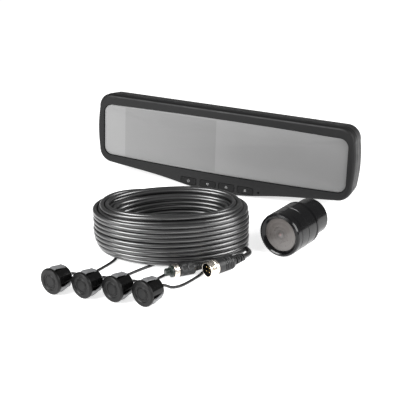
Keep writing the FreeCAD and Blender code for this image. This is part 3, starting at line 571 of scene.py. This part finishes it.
def cable_turns(s):
    """The coil's control points. The angle falls steadily while layer and height pass from each turn's
    place to the next in a smooth step behind the coil. Each turn strays a little by its own first
    three harmonics, and the whole coil bulges at its right end and draws in at its lower left."""
    cells = wound_cells()
    turns = len(cells) + (JOIN - LEAVE) / TURN
    tau = np.arange(0, turns, 1 / s.points)
    x = tau + STEP_AT
    ramp = np.clip((x % 1 - (1 - STEP_SHARE)) / STEP_SHARE, 0, 1)
    q = np.floor(x) + ramp * ramp * (3 - 2 * ramp)
    places = np.arange(len(cells))
    layer, height = (np.interp(q, places, cells[:, k]) for k in (0, 1))
    angle = JOIN - TURN * tau

    rng = np.random.default_rng(s.seed)
    loose = np.interp(q, places, np.where(np.isin(places, LOOSE_TURNS), LOOSENESS, 1.0))

    def stray():
        knots = rng.normal(0, s.slack / MM, (len(cells) + 1, 6))
        at = [np.interp(x, np.arange(len(knots)), knots[:, k]) for k in range(6)]
        return sum(at[2 * k] * np.cos((k + 1) * angle) + at[2 * k + 1] * np.sin((k + 1) * angle)
                   for k in range(3)) * loose * SPREAD

    low = np.clip(1 - height / TUCK_BELOW, 0, 1) ** 1.5
    left = np.clip(np.cos(angle - TUCK_AT), 0, 1) ** 2
    right = np.clip(np.cos(angle - BULGE_AT), 0, 1) ** 3
    belly = np.sin(np.clip(height / COIL_TOP, 0, 1) * math.pi)
    out = stray() - TUCK * low * left + BULGE * right * belly
    height = height + stray() + TILT * np.sin(angle - TILT_AT) * height / COIL_TOP
    step = s.layer_step / MM
    grow = widened(s.points)
    along = (s.half_length / MM - layer * step + out) * np.cos(angle) * grow
    across = (s.half_width / MM - layer * step + out) * np.sin(angle) * grow
    flat = coil_place(along, across)
    points = np.c_[flat, COIL_LIFT + np.maximum(height, LOWEST)]
    return (points - KIT_CENTRE) * MM


class KIT_OT_cable(bpy.types.Operator):
    """Lay the extension cable: its two ends and the oval coil between them"""
    bl_idname = "kit.cable"
    bl_label = "Extension cable"

    def execute(self, context):
        s = context.scene.kit_cable
        jacket = moulded("Cable jacket", s.jacket, 0.28, 0.36, grain=0.0012, depth=0.000003, share=0.2,
                         Specular_IOR_Level=1.0, Coat_Weight=0.7, Coat_Roughness=0.3)
        bend = coil_place(INNER_BEND[:, 0], INNER_BEND[:, 1])
        inner = (np.c_[bend, np.full(len(bend), COIL_LIFT + s.thickness / 2 / MM)] - KIT_CENTRE) * MM
        points = np.concatenate([on_layout(TAIL_A), inner, cable_turns(s), on_layout(TAIL_B)[::-1]])
        cable = cord_curve("extension_cable", points, s.thickness, jacket, "cable", 4, 4)
        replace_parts(cable, "cable_coil", "cable_tail_a", "cable_tail_b")
        return {"FINISHED"}


LEAD_ROWS, LEAD_LAYERS = 9, (6.5, 5.5, 4.5)   # layers' radii in lead thicknesses
LEAD_ENTRY, LEAD_STOP = math.radians(24), math.radians(118)   # from the route's end; from the plug
LEAD_HOOK = np.array([(-12.6, 10.0, 24.4), (-16.4, 5.2, 25.3), (-16.0, 0.6, 26.0), (-12.4, -0.9, 26.2),
                      (-8.3, 0.0, 26.2)])


def stored_turns(centre, entry, sign, s):
    """The turns of a stored lead: three layers of nine rows, the outer one up, the middle one down and
    the inner one up, then a hook over the rim into the back of the plug."""
    step = s.thickness / MM
    up = range(LEAD_ROWS)
    cells = np.array([(radius, row + 0.5) for radius, rows in zip(LEAD_LAYERS, (up, reversed(up), up))
                      for row in rows]) * step
    plug = math.radians(COIL_HEADING)
    stop = plug + sign * LEAD_STOP
    turns = len(cells) - 1 + ((stop - entry) * sign % TURN) / TURN
    tau = np.arange(0, turns, 1 / s.points)
    q = np.clip(tau - 0.5, 0, len(cells) - 1)
    radius = np.interp(q, np.arange(len(cells)), cells[:, 0]) * widened(s.points)
    height = np.interp(q, np.arange(len(cells)), cells[:, 1])
    angle = entry + sign * TURN * tau
    turn_points = np.stack([centre[0] + radius * np.cos(angle), centre[1] + radius * np.sin(angle),
                            height], -1)
    x, y = rotated(LEAD_HOOK[:, 0], LEAD_HOOK[:, 1] * sign, plug)
    over = np.stack([centre[0] + x, centre[1] + y, LEAD_HOOK[:, 2]], -1)
    return (np.concatenate([turn_points, over]) - KIT_CENTRE) * MM


class KIT_OT_leads(bpy.types.Operator):
    """Lay the four sensor leads: their routes on the floor, their stored coils and their plugs"""
    bl_idname = "kit.leads"
    bl_label = "Sensor leads"

    def execute(self, context):
        s = context.scene.kit_leads
        jacket = moulded("Lead jacket", s.jacket, 0.30, 0.42, grain=0.0009, depth=0.00001)
        dress(moulded("Lead plug plastic", s.plug, 0.42, 0.55), "lead_plugs")
        for n, (route, spot) in enumerate(zip(LEADS, LEAD_COILS), 1):
            centre = coil_place(*spot)
            (x0, y0, _), (x1, y1, _) = route[-2:]
            away = np.array([x1, y1]) / MM - centre
            sign = 1.0 if away[0] * (y1 - y0) - away[1] * (x1 - x0) > 0 else -1.0
            entry = math.atan2(away[1], away[0]) + sign * LEAD_ENTRY
            points = np.concatenate([on_layout(route), stored_turns(centre, entry, sign, s)])
            lead = cord_curve("sensor_cord_%d" % n, points, s.thickness, jacket, "sensor_set", 4, 3)
            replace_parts(lead, "sensor_lead_%d" % n, "lead_coil_%d" % n)
        return {"FINISHED"}


# ---- mirror ----

class KIT_OT_mirror_shell(bpy.types.Operator):
    """Finish the mirror's bezel, housing, screws and socket"""
    bl_idname = "kit.mirror_shell"
    bl_label = "Mirror housing"

    def execute(self, context):
        s = context.scene.kit_mirror
        dress(moulded("Mirror plastic", s.plastic, 0.42, 0.52, grain=0.0007, depth=0.00003, share=0.18,
                      Specular_IOR_Level=0.25),
              "front_bezel", "rear_housing")
        dress(moulded("Socket plastic", (0.012, 0.012, 0.012), 0.35, 0.5), "cable_socket")
        dress(moulded("Blackened screw", (0.03, 0.03, 0.032), 0.3, 0.45, Metallic=0.8),
              "housing_screws")
        dress(moulded("Sensor eye", (0.001, 0.001, 0.001), 0.3, 0.4, depth=0.000002,
                      Specular_IOR_Level=0.05), "light_sensor")
        return {"FINISHED"}


GLASS_HALF_W, GLASS_HALF_H, GLASS_ROUND = 137.6, 28.9, 9.0
GLASS_FRONT, GLASS_BACK = 1.4, 4.4
PICTURE_X, PICTURE_Z = (-112.0, -5.0), (-27.6, 27.0)


def glass_outline():
    """The pane's outline: long edges bowed by arcs through three points, quarter rounds between. An arc
    leaves out its last point where the next arc starts there, and keeps it before a straight end."""
    w, r = GLASS_HALF_W, GLASS_ROUND
    s, k = GLASS_HALF_H - 1.1, GLASS_ROUND * (1 - math.sqrt(0.5))
    arcs = [arc_through((-w + r, s), (0, GLASS_HALF_H + 0.2), (w - r, s), 80),
            arc_through((w - r, s), (w - k, s - k), (w, s - r), 16),
            arc_through((w, -s + r), (w - k, -s + k), (w - r, -s), 16),
            arc_through((w - r, -s), (0, -GLASS_HALF_H - 1.1), (-w + r, -s), 80),
            arc_through((-w + r, -s), (-w + k, -s + k), (-w, -s + r), 16),
            arc_through((-w, s - r), (-w + k, s - k), (-w + r, s), 16)]
    straight_after = (1, 4)
    return np.concatenate([points if n in straight_after else points[:-1]
                           for n, points in enumerate(arcs)])


def half_mirror(s):
    """Half-silvered glass: its tone falls from left to right as a painted reflection, and the field in
    front of the picture panel is darker, with crisp edges."""
    material, tree, shader, place = plain_material("Half mirror", Coat_Weight=0.08,
                                                   Coat_Roughness=0.05, Specular_IOR_Level=0.3)
    origin = leaned(np.zeros(3))
    own = node(tree, "Mapping", {"Vector": place, "Location": tuple(origin),
                                 "Rotation": (-math.radians(MIRROR_LEAN), 0, 0)},
               vector_type="TEXTURE").outputs[0]
    part = node(tree, "SeparateXYZ", {0: own}).outputs
    # Painted reflection: the glass's grey falls from the left end's tone to the right end's.
    tone = node(tree, "MapRange", {"Value": part["X"], "From Min": -GLASS_HALF_W * MM,
                                   "From Max": GLASS_HALF_W * MM, "To Min": s.bright, "To Max": s.right_end_with_painted_reflection})
    masks = []
    for value, low, high in ((part["X"], *PICTURE_X), (part["Z"], *PICTURE_Z)):
        for edge, sense in ((low, "GREATER_THAN"), (high, "LESS_THAN")):
            masks.append(maths(tree, sense, value, edge * MM))
    field = masks[0]
    for mask in masks[1:]:
        field = maths(tree, "MULTIPLY", field, mask)
    darker = node(tree, "MapRange", {"Value": field, "To Min": 1.0, "To Max": s.picture}).outputs[0]
    grey = maths(tree, "MULTIPLY", tone.outputs[0], darker)
    colour_out = node(tree, "CombineColor", {0: grey, 1: grey, 2: grey}).outputs[0]
    coloured(tree, shader, place, 0.06, colour_out, 0.05)
    handled(tree, shader, place, 0.03, 0.30, 0.38)
    return material


class KIT_OT_mirror_glass(bpy.types.Operator):
    """Glaze the mirror: a pane with a ground edge, its tape and the panel behind it"""
    bl_idname = "kit.mirror_glass"
    bl_label = "Mirror glass"

    def execute(self, context):
        s = context.scene.kit_mirror
        outline, edge = glass_outline(), s.edge / MM

        def ring(inset, depth):
            flat = drawn_in(outline, inset) if inset else outline
            return leaned(np.stack([flat[:, 0], np.full(len(flat), depth), flat[:, 1]], -1))
        rings = np.stack([ring(edge, GLASS_FRONT), ring(edge * 0.35, GLASS_FRONT + 0.25),
                          ring(0, GLASS_FRONT + 0.75), ring(0, GLASS_BACK - 0.2),
                          ring(0.2, GLASS_BACK)])
        pane = shell("mirror_pane", rings, half_mirror(s), "mirror")
        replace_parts(pane, "mirror_glass")
        dress(moulded("Foam tape", (0.02, 0.02, 0.02), 0.8, 0.95, depth=0.0001), "glass_tape")
        dress(moulded("Display glass", (0.01, 0.01, 0.012), 0.1, 0.2, depth=0.000002), "lcd_panel")
        dress(moulded("Board shield", (0.5, 0.5, 0.5), 0.3, 0.45, Metallic=1.0), "lcd_backlight")
        dress(moulded("Circuit board", (0.01, 0.07, 0.03), 0.3, 0.5, share=0.5), "main_board",
              "button_board")
        return {"FINISHED"}


BUTTON_X, BUTTON_Z, BUTTON_FACE = (-34.4, -12.0, 9.4, 30.8), -41.8, -0.25
MARK_WIDTH, MARK_RAISE = 0.36, 0.05


def mark(name, path, material, body, closed):
    """A printed line: a flat bar's section carried along a path on a button's face. The section's
    width lies along the path's normal."""
    path = np.asarray(path, float)
    if closed:
        along = np.roll(path, -1, 0) - np.roll(path, 1, 0)
    else:
        along = np.gradient(path, axis=0)
    along /= np.linalg.norm(along, axis=1, keepdims=True)
    normal = np.stack([-along[:, 1], along[:, 0]], -1) * MARK_WIDTH / 2
    front, back = BUTTON_FACE - MARK_RAISE, BUTTON_FACE + 0.1
    corners = [(path + normal, front), (path - normal, front), (path - normal, back),
               (path + normal, back)]
    rings = np.stack([np.stack([p[:, 0], np.full(len(p), y), p[:, 1]], -1) for p, y in corners], 1)
    return shell(name, leaned(rings), material, body, closed)


def triangle(x, z, sense):
    """A triangle with round corners: a circle pushed out towards three points by a cosine of three
    times the angle."""
    angle = np.linspace(0, TURN, 48, endpoint=False)
    radius = 0.98 / (1 - 0.26 * np.cos(3 * (angle - sense * math.pi / 2)))
    return np.stack([x + radius * np.cos(angle), z + radius * np.sin(angle)], -1)


class KIT_OT_buttons(bpy.types.Operator):
    """Finish the four buttons and print plain marks on them: power, down, up and menu"""
    bl_idname = "kit.buttons"
    bl_label = "Buttons"

    def execute(self, context):
        s = context.scene.kit_mirror
        dress(moulded("Button plastic", s.keys, 0.46, 0.58, grain=0.0006, depth=0.00002,
                      Specular_IOR_Level=0.2),
              "button_power", "button_down", "button_up", "button_menu")
        ink = moulded("Button print", s.print_colour, 0.5, 0.6, depth=0.000005)
        x = BUTTON_X[0]
        angle = np.radians(np.linspace(130, 410, 40))
        loop = np.stack([x + 1.25 * np.cos(angle), BUTTON_Z + 1.25 * np.sin(angle)], -1)
        mark("mark_power_ring", loop, ink, "key_power", False)
        stem = np.stack([np.full(4, x), BUTTON_Z + np.linspace(0.2, 1.6, 4)], -1)
        mark("mark_power_stem", stem, ink, "key_power", False)
        mark("mark_down", triangle(BUTTON_X[1], BUTTON_Z, -1), ink, "key_down", True)
        mark("mark_up", triangle(BUTTON_X[2], BUTTON_Z, 1), ink, "key_up", True)
        for n, z in enumerate((0.95, 0.0, -0.95)):
            bar = np.stack([BUTTON_X[3] + np.linspace(-1.2, 1.2, 4), np.full(4, BUTTON_Z + z)], -1)
            mark("mark_menu_%d" % (n + 1), bar, ink, "key_menu", False)
        return {"FINISHED"}


class KIT_OT_mount(bpy.types.Operator):
    """Finish the ball socket, its liner, the arm, the foot and its screw"""
    bl_idname = "kit.mount"
    bl_label = "Mirror mount"

    def execute(self, context):
        dress(moulded("Mount plastic", (0.018, 0.018, 0.0185), 0.5, 0.62, depth=0.00004),
              "ball_socket")
        dress(moulded("Liner plastic", (0.10, 0.10, 0.10), 0.4, 0.5), "ball_liner")
        dress(moulded("Cast arm", (0.035, 0.035, 0.037), 0.36, 0.5, grain=0.0011, depth=0.00005,
                      Metallic=0.55), "mount_arm", "windshield_foot")
        dress(moulded("Steel screw", (0.55, 0.55, 0.57), 0.22, 0.38, Metallic=1.0), "foot_screw")
        return {"FINISHED"}


# ---- camera ----

PANE_R, PANE_FRONT, PANE_BACK = 16.6, 3.2, 5.2
LENS_RISE, LENS_EDGE = 0.5, 2.8
PANE_RINGS = (4.6, 7.6, 12.0)


def pane_face():
    """The window's front: flat, with a low dome over the lens, 1 - (r / edge) squared, and three fine
    grooves round it."""
    r = np.linspace(PANE_R - 0.25, 0.12, 110)
    dome = LENS_RISE * np.clip(1 - (r / LENS_EDGE) ** 2, 0, 1)
    grooves = sum(0.07 * np.exp(-((r - ring) / 0.22) ** 2) for ring in PANE_RINGS)
    return np.stack([r, PANE_FRONT - dome + grooves], -1)


def window_finish(s):
    """Smoked window: warm grey, with painted shade on the inner side of each groove and a painted
    highlight on its outer side, and a pink spot over the lens that is partly the lens coating's tint and
    partly a painted glint, lightest in the middle.
    """
    material, tree, shader, place = plain_material("Camera window", Roughness=0.3, Coat_Weight=0.8,
                                                   Coat_Roughness=0.06)
    own = own_axes(tree, place, CAMERA_FACE, CAMERA_HEADING, CAMERA_AXIS)
    ramp = node(tree, "ValToRGB", {0: maths(tree, "DIVIDE", axis_distance(tree, own), PANE_R * MM)})
    # Painted shade on each groove's inner side and a painted highlight on its outer side; the pink
    # middle is the coating's tint with a painted glint at its centre.
    stops = [(0.0, s.coating_and_painted_glint, 1.0), (0.045, s.coating_and_painted_glint, 0.8), (0.09, s.window, 0.85),
             (0.27, s.window, 0.62), (0.29, s.window, 0.92), (0.45, s.window, 0.8),
             (0.47, s.window, 1.05), (0.71, s.window, 0.92), (0.73, s.window, 1.12),
             (0.97, s.window, 0.9)]
    for k, (at, tint, factor) in enumerate(stops):
        stop = ramp.color_ramp.elements[k] if k < 2 else ramp.color_ramp.elements.new(at)
        stop.position = at
        stop.color = rgba([c * factor for c in tint])
    coloured(tree, shader, place, 0.004, ramp.outputs[0], 0.12)
    handled(tree, shader, place, 0.006, 0.26, 0.34)
    return material


class KIT_OT_camera(bpy.types.Operator):
    """Finish the camera's barrel and gland and glaze its window"""
    bl_idname = "kit.camera"
    bl_label = "Camera"

    def execute(self, context):
        s = context.scene.kit_camera
        black = moulded("Camera black", s.body, 0.16, 0.24, grain=0.0016, depth=0.000003, share=0.2,
                        Specular_IOR_Level=0.2, Coat_Weight=0.2, Coat_Roughness=0.06)
        dress(black, "camera_bezel", "camera_barrel", "camera_collar", "camera_sleeve")
        face = pane_face()
        profile = np.concatenate([[(0.12, PANE_BACK), (PANE_R, PANE_BACK), (PANE_R, PANE_FRONT + 0.25)],
                                  face])
        rings = upright(turned(profile, 128), CAMERA_FACE, CAMERA_HEADING, CAMERA_AXIS)
        pane = shell("camera_pane", rings, window_finish(s), "camera")
        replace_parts(pane, "camera_window")
        dress(moulded("Lens barrel black", (0.01, 0.01, 0.01), 0.4, 0.6), "lens_barrel")
        dress(moulded("Lens glass", (0.05, 0.02, 0.06), 0.04, 0.08, depth=0.000001), "lens_glass")
        dress(moulded("Camera circuit board", (0.01, 0.05, 0.03), 0.3, 0.5, share=0.5), "image_board")
        dress(moulded("Gland rubber", (0.012, 0.012, 0.012), 0.6, 0.75, depth=0.00004), "cable_gland")
        return {"FINISHED"}


# ---- sensors ----

FLANGE_BACK = 2.4


def sensor_finish(s, n):
    """A sensor's plastic: satin and dark grey on the flange, polished black behind it."""
    material, tree, shader, place = plain_material("Sensor plastic %d" % (n + 1),
                                                   Specular_IOR_Level=0.25)
    own = own_axes(tree, place, SENSOR_FACES[n], SENSOR_HEADING, SENSOR_AXIS)
    depth = node(tree, "SeparateXYZ", {0: own}).outputs["Y"]
    behind = node(tree, "MapRange", {"Value": depth, "From Min": (FLANGE_BACK - 0.1) * MM,
                                     "From Max": (FLANGE_BACK + 0.05) * MM}).outputs[0]
    tint = node(tree, "Mix", {0: behind, 6: rgba(s.flange), 7: rgba(s.body)}, data_type="RGBA")
    coloured(tree, shader, place, 0.006, tint.outputs[2], 0.2)
    satin = use(tree, "handling", {"Vector": place, "Size": 0.006, "Least": 0.36, "Most": 0.46})
    gloss = use(tree, "handling", {"Vector": place, "Size": 0.006, "Least": 0.10, "Most": 0.18})
    rough = node(tree, "Mix", {0: behind, 2: satin["Roughness"], 3: gloss["Roughness"]})
    tree.links.new(rough.outputs[0], shader.inputs["Roughness"])
    bumped(tree, shader, use(tree, "grain", {"Vector": place, "Size": 0.0005})["Height"], 0.000006)
    return material


class KIT_OT_sensors(bpy.types.Operator):
    """Finish the four bumper sensors, their clips and their seals"""
    bl_idname = "kit.sensors"
    bl_label = "Bumper sensors"

    def execute(self, context):
        s = context.scene.kit_sensors
        cup = moulded("Sensor face", s.flange, 0.36, 0.46, grain=0.0004, depth=0.000005,
                      Specular_IOR_Level=0.25)
        for n in range(len(SENSOR_FACES)):
            dress(sensor_finish(s, n), "sensor_%d_housing" % (n + 1))
            dress(cup, "sensor_%d_transducer" % (n + 1))
        dress(moulded("Clip plastic", s.clips, 0.38, 0.5, grain=0.0005, depth=0.00001, share=0.15),
              "sensor_clips")
        dress(moulded("Seal rubber", (0.004, 0.004, 0.004), 0.6, 0.75), "sensor_seals")
        return {"FINISHED"}


# ---- connectors ----

FEMALE_PLACE = (FEMALE_TIP, FEMALE_HEADING, FEMALE_AXIS)
MALE_PLACE = (MALE_TIP, MALE_HEADING, MALE_AXIS)


def connector_piece(name, replaced, place, corners, sides, material, cut=None, spacing=None,
                    reach=0.15, body="cable"):
    """A turned piece of a connector, set on its axis, standing for a CAD node. Its profile's corners
    are softened, and a profile that comes back to its first corner makes a hoop."""
    profile, closed = softened(corners, reach), corners[0] == corners[-1]
    if spacing:
        profile = dense(profile, spacing)
    if closed:
        profile = profile[:-1]
    rings = upright(turned(profile, sides, cut), *place)
    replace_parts(shell(name, rings, material, body, closed), replaced)


def windows(first, last, rows, depth, bore):
    """Cuts of a strain relief outside its bore: rows of windows, each row open on the two sides that
    the row before leaves closed."""
    pitch = (last - first) / rows

    def cut(radius, along, angle):
        row = np.floor((along - first) / pitch)
        inside = band((along - first) % pitch, pitch * 0.22, pitch * 0.78, pitch * 0.12)
        inside = inside * ((row >= 0) & (row < rows))
        side = np.abs(np.cos(angle + row * math.pi / 2))
        return depth * inside * band(side, 0.35, 2.0, 0.1) * (radius > bore)
    return cut


class KIT_OT_female(bpy.types.Operator):
    """Make the connector with the coupling sleeve: insert, plated ring, ridged sleeve and relief"""
    bl_idname = "kit.female"
    bl_label = "Sleeve connector"

    def execute(self, context):
        s = context.scene.kit_connectors
        nickel = plated("Plated ring", s.plating, 0.2, 0.32, *FEMALE_PLACE)
        grip = moulded("Sleeve plastic", s.grip, 0.34, 0.46, depth=0.00001)
        rubber = moulded("Relief rubber", s.grip, 0.42, 0.55, depth=0.00001)
        insert = moulded("Insert plastic", (0.012, 0.018, 0.014), 0.24, 0.36, depth=0.000006)

        def keys(radius, along, angle):
            slots = band(np.cos(angle - math.pi / 2), 0.90, 2.0, 0.03)
            slots = slots + band(np.cos(3 * (angle + math.pi / 2)), 0.93, 2.0, 0.04)
            return 0.75 * np.clip(slots, 0, 1) * band(along, -2, 4.4, 0.2) * (radius > 2.2)
        tip = [(0.1, 0.0), (3.1, 0.0), (3.45, 0.4), (3.45, 4.7), (5.2, 4.9), (5.35, 5.4), (5.35, 7.2),
               (4.3, 7.5), (4.3, 23.0), (0.1, 23.0)]
        connector_piece("keyed_insert", "female_insert", FEMALE_PLACE, tip, 120, insert,
                        keys, 0.3)
        ring = [(4.45, 9.0), (4.45, 7.6), (5.45, 7.6), (5.85, 7.95), (5.85, 10.6), (5.7, 10.7),
                (5.7, 11.0), (5.85, 11.1), (5.85, 12.1), (5.2, 12.5), (4.6, 12.5), (4.45, 12.4),
                (4.45, 9.0)]
        connector_piece("plated_nut", "coupling_ring", FEMALE_PLACE, ring, 96, nickel,
                        reach=0.1, body="coupling_nut")

        def ridges(radius, along, angle):
            bands = band(along, 15.0, 19.6, 0.4) + band(along, 20.6, 25.2, 0.4)
            return 0.2 * bands * (0.5 + 0.5 * np.cos(s.ridges * angle)) * (radius > 5.4)
        sleeve = [(5.0, 14.0), (5.0, 12.6), (5.35, 12.6), (5.35, 13.1), (5.85, 13.2), (6.0, 13.6),
                  (6.0, 26.0), (5.6, 27.1), (5.0, 27.3), (4.55, 27.3), (4.55, 20.0), (5.0, 14.0)]
        connector_piece("ridged_sleeve", "coupling_sleeve", FEMALE_PLACE, sleeve, s.ridges * 6, grip,
                        ridges, 0.25, body="coupling_nut")
        relief = [(2.2, 30.0), (2.2, 24.0), (4.3, 24.0), (4.3, 28.0), (3.9, 28.2), (3.3, 35.0),
                  (2.6, 35.3), (2.2, 35.3), (2.2, 30.0)]
        connector_piece("female_strain_relief", "female_relief", FEMALE_PLACE, relief, 64, rubber,
                        windows(28.6, 34.6, 3, 0.9, 2.5), 0.12)
        return {"FINISHED"}


class KIT_OT_male(bpy.types.Operator):
    """Make the connector with the pins: threaded shell, pins, ribbed grip and strain relief"""
    bl_idname = "kit.male"
    bl_label = "Pin connector"

    def execute(self, context):
        s = context.scene.kit_connectors
        nickel = plated("Plated shell", s.plating, 0.2, 0.32, *MALE_PLACE, lining=6.0)
        gold = plated("Gold contacts", s.contacts, 0.15, 0.25, *MALE_PLACE)
        grip = moulded("Grip plastic", s.grip, 0.34, 0.46, depth=0.00001)
        rubber = moulded("Grip rubber", s.grip, 0.42, 0.55, depth=0.00001)
        dress(gold, "contact_pins")
        dress(moulded("Pin block plastic", (0.006, 0.006, 0.006), 0.4, 0.5), "pin_block")
        pitch = s.thread / MM

        def thread(radius, along, angle):
            wave = np.abs(((along / pitch - angle / TURN) % 1) * 2 - 1)
            return 0.34 * wave * band(along, 1.1, 6.4, 0.5) * (radius > 6.2)
        tube = [(5.9, 5.0), (5.9, 0.3), (6.1, 0.0), (6.5, 0.0), (6.65, 0.3), (6.65, 6.8), (7.0, 7.0),
                (7.0, 9.4), (6.8, 9.7), (6.8, 10.0), (5.9, 10.0), (5.9, 5.0)]
        connector_piece("male_shell_plated", "male_shell", MALE_PLACE, tube, 128, nickel,
                        thread, 0.09, 0.1)

        def ribs(radius, along, angle):
            wave = 0.5 + 0.5 * np.cos(TURN * (along - 16.4) / 1.9)
            return 0.55 * band(wave, -1.0, 0.42, 0.3) * band(along, 16.6, 25.6, 0.1) + 0 * angle
        body = [(0.1, 10.0), (6.6, 10.0), (6.8, 10.3), (6.8, 27.2), (6.2, 28.6), (5.2, 29.4),
                (0.1, 29.5)]
        connector_piece("male_grip", "male_body", MALE_PLACE, body, 96, grip, ribs,
                        0.14, 0.3)
        relief = [(2.2, 36.0), (2.2, 29.6), (4.7, 29.6), (3.3, 42.7), (3.0, 43.0), (2.2, 43.0),
                  (2.2, 36.0)]
        connector_piece("male_strain_relief", "male_relief", MALE_PLACE, relief, 72, rubber,
                        windows(30.6, 41.8, 4, 1.3, 2.6), 0.15)
        return {"FINISHED"}


# ---- stage ----

FLOOR_REACH = 8.0
EYE_PITCH, EYE_HEADING, FILM_WIDTH = math.radians(68), math.radians(26), 36.0


def area_light(name, power, size, place, target):
    """A soft rectangular light that faces a point."""
    data = bpy.data.lights.new(name, "AREA")
    data.energy = power
    data.shape = "RECTANGLE"
    data.size, data.size_y = size
    light = placed(name, data)
    light.location = place
    way = np.subtract(target, place)
    light.rotation_euler = (math.atan2(math.hypot(way[0], way[1]), -way[2]), 0,
                            math.atan2(-way[0], way[1]))


class KIT_OT_stage(bpy.types.Operator):
    """Set the pale floor, the soft lights and the camera"""
    bl_idname = "kit.stage"
    bl_label = "Stage"

    def execute(self, context):
        s = context.scene.kit_stage
        scene = context.scene
        scene.view_settings.view_transform = "Standard"
        world = bpy.data.worlds.new("Studio")
        world.use_nodes = True
        background = world.node_tree.nodes["Background"]
        background.inputs["Color"].default_value = (1, 1, 1, 1)
        background.inputs["Strength"].default_value = s.surround
        scene.world = world
        area_light("key", s.key, (0.55, 0.5), (-0.41, -0.87, 0.62), (0.0, 0.0, 0.03))
        area_light("fill", s.fill, (0.45, 0.6), (0.86, -0.02, 0.50), (0.05, 0.0, 0.03))
        mesh = bpy.data.meshes.new("floor")
        corners = [(x * FLOOR_REACH, y * FLOOR_REACH, 0)
                   for x, y in ((-1, -1), (1, -1), (1, 1), (-1, 1))]
        mesh.from_pydata(corners, [], [(0, 1, 2, 3)])
        floor = placed("floor", mesh)
        paper, tree, shader, place = plain_material("Studio paper", Roughness=0.9,
                                                    Emission_Strength=0.7)
        shader.inputs["Specular IOR Level"].default_value = 0.0
        shader.inputs["Emission Color"].default_value = (1, 1, 1, 1)
        coloured(tree, shader, place, 0.5, rgba(s.floor), 0.01)
        mesh.materials.append(paper)
        eye = bpy.data.cameras.new("camera")
        eye.lens, eye.sensor_width = s.lens, FILM_WIDTH
        camera = placed("camera", eye)
        camera.location = s.eye
        camera.rotation_euler = (EYE_PITCH, 0, EYE_HEADING)
        scene.camera = camera
        return {"FINISHED"}


# ---- panel and registration ----

OPERATORS = (KIT_OT_stage, KIT_OT_mirror_shell, KIT_OT_mirror_glass, KIT_OT_buttons, KIT_OT_mount,
             KIT_OT_camera, KIT_OT_sensors, KIT_OT_female, KIT_OT_male, KIT_OT_cable, KIT_OT_leads)
SETTINGS = {"kit_cable": CableSettings, "kit_leads": LeadSettings, "kit_mirror": MirrorSettings,
            "kit_camera": CameraSettings, "kit_sensors": SensorSettings,
            "kit_connectors": ConnectorSettings, "kit_stage": StageSettings}


class KIT_PT_panel(bpy.types.Panel):
    bl_idname = "KIT_PT_panel"
    bl_label = "Camera Kit"
    bl_space_type = "VIEW_3D"
    bl_region_type = "UI"
    bl_category = "Camera Kit"

    def draw(self, context):
        for operator in OPERATORS:
            self.layout.operator(operator.bl_idname)
        for name in SETTINGS:
            box = self.layout.box()
            group = getattr(context.scene, name)
            for key in group.bl_rna.properties.keys():
                if key not in ("rna_type", "name"):
                    box.prop(group, key)


def register():
    for cls in (*SETTINGS.values(), *OPERATORS, KIT_PT_panel):
        bpy.utils.register_class(cls)
    for name, cls in SETTINGS.items():
        setattr(bpy.types.Scene, name, PointerProperty(type=cls))


def unregister():
    for name in SETTINGS:
        delattr(bpy.types.Scene, name)
    for cls in reversed((*SETTINGS.values(), *OPERATORS, KIT_PT_panel)):
        bpy.utils.unregister_class(cls)


def main():
    register()
    make_effects()
    for operator in OPERATORS:
        group, name = operator.bl_idname.split(".")
        getattr(getattr(bpy.ops, group), name)()


if __name__ == "__main__":
    main()
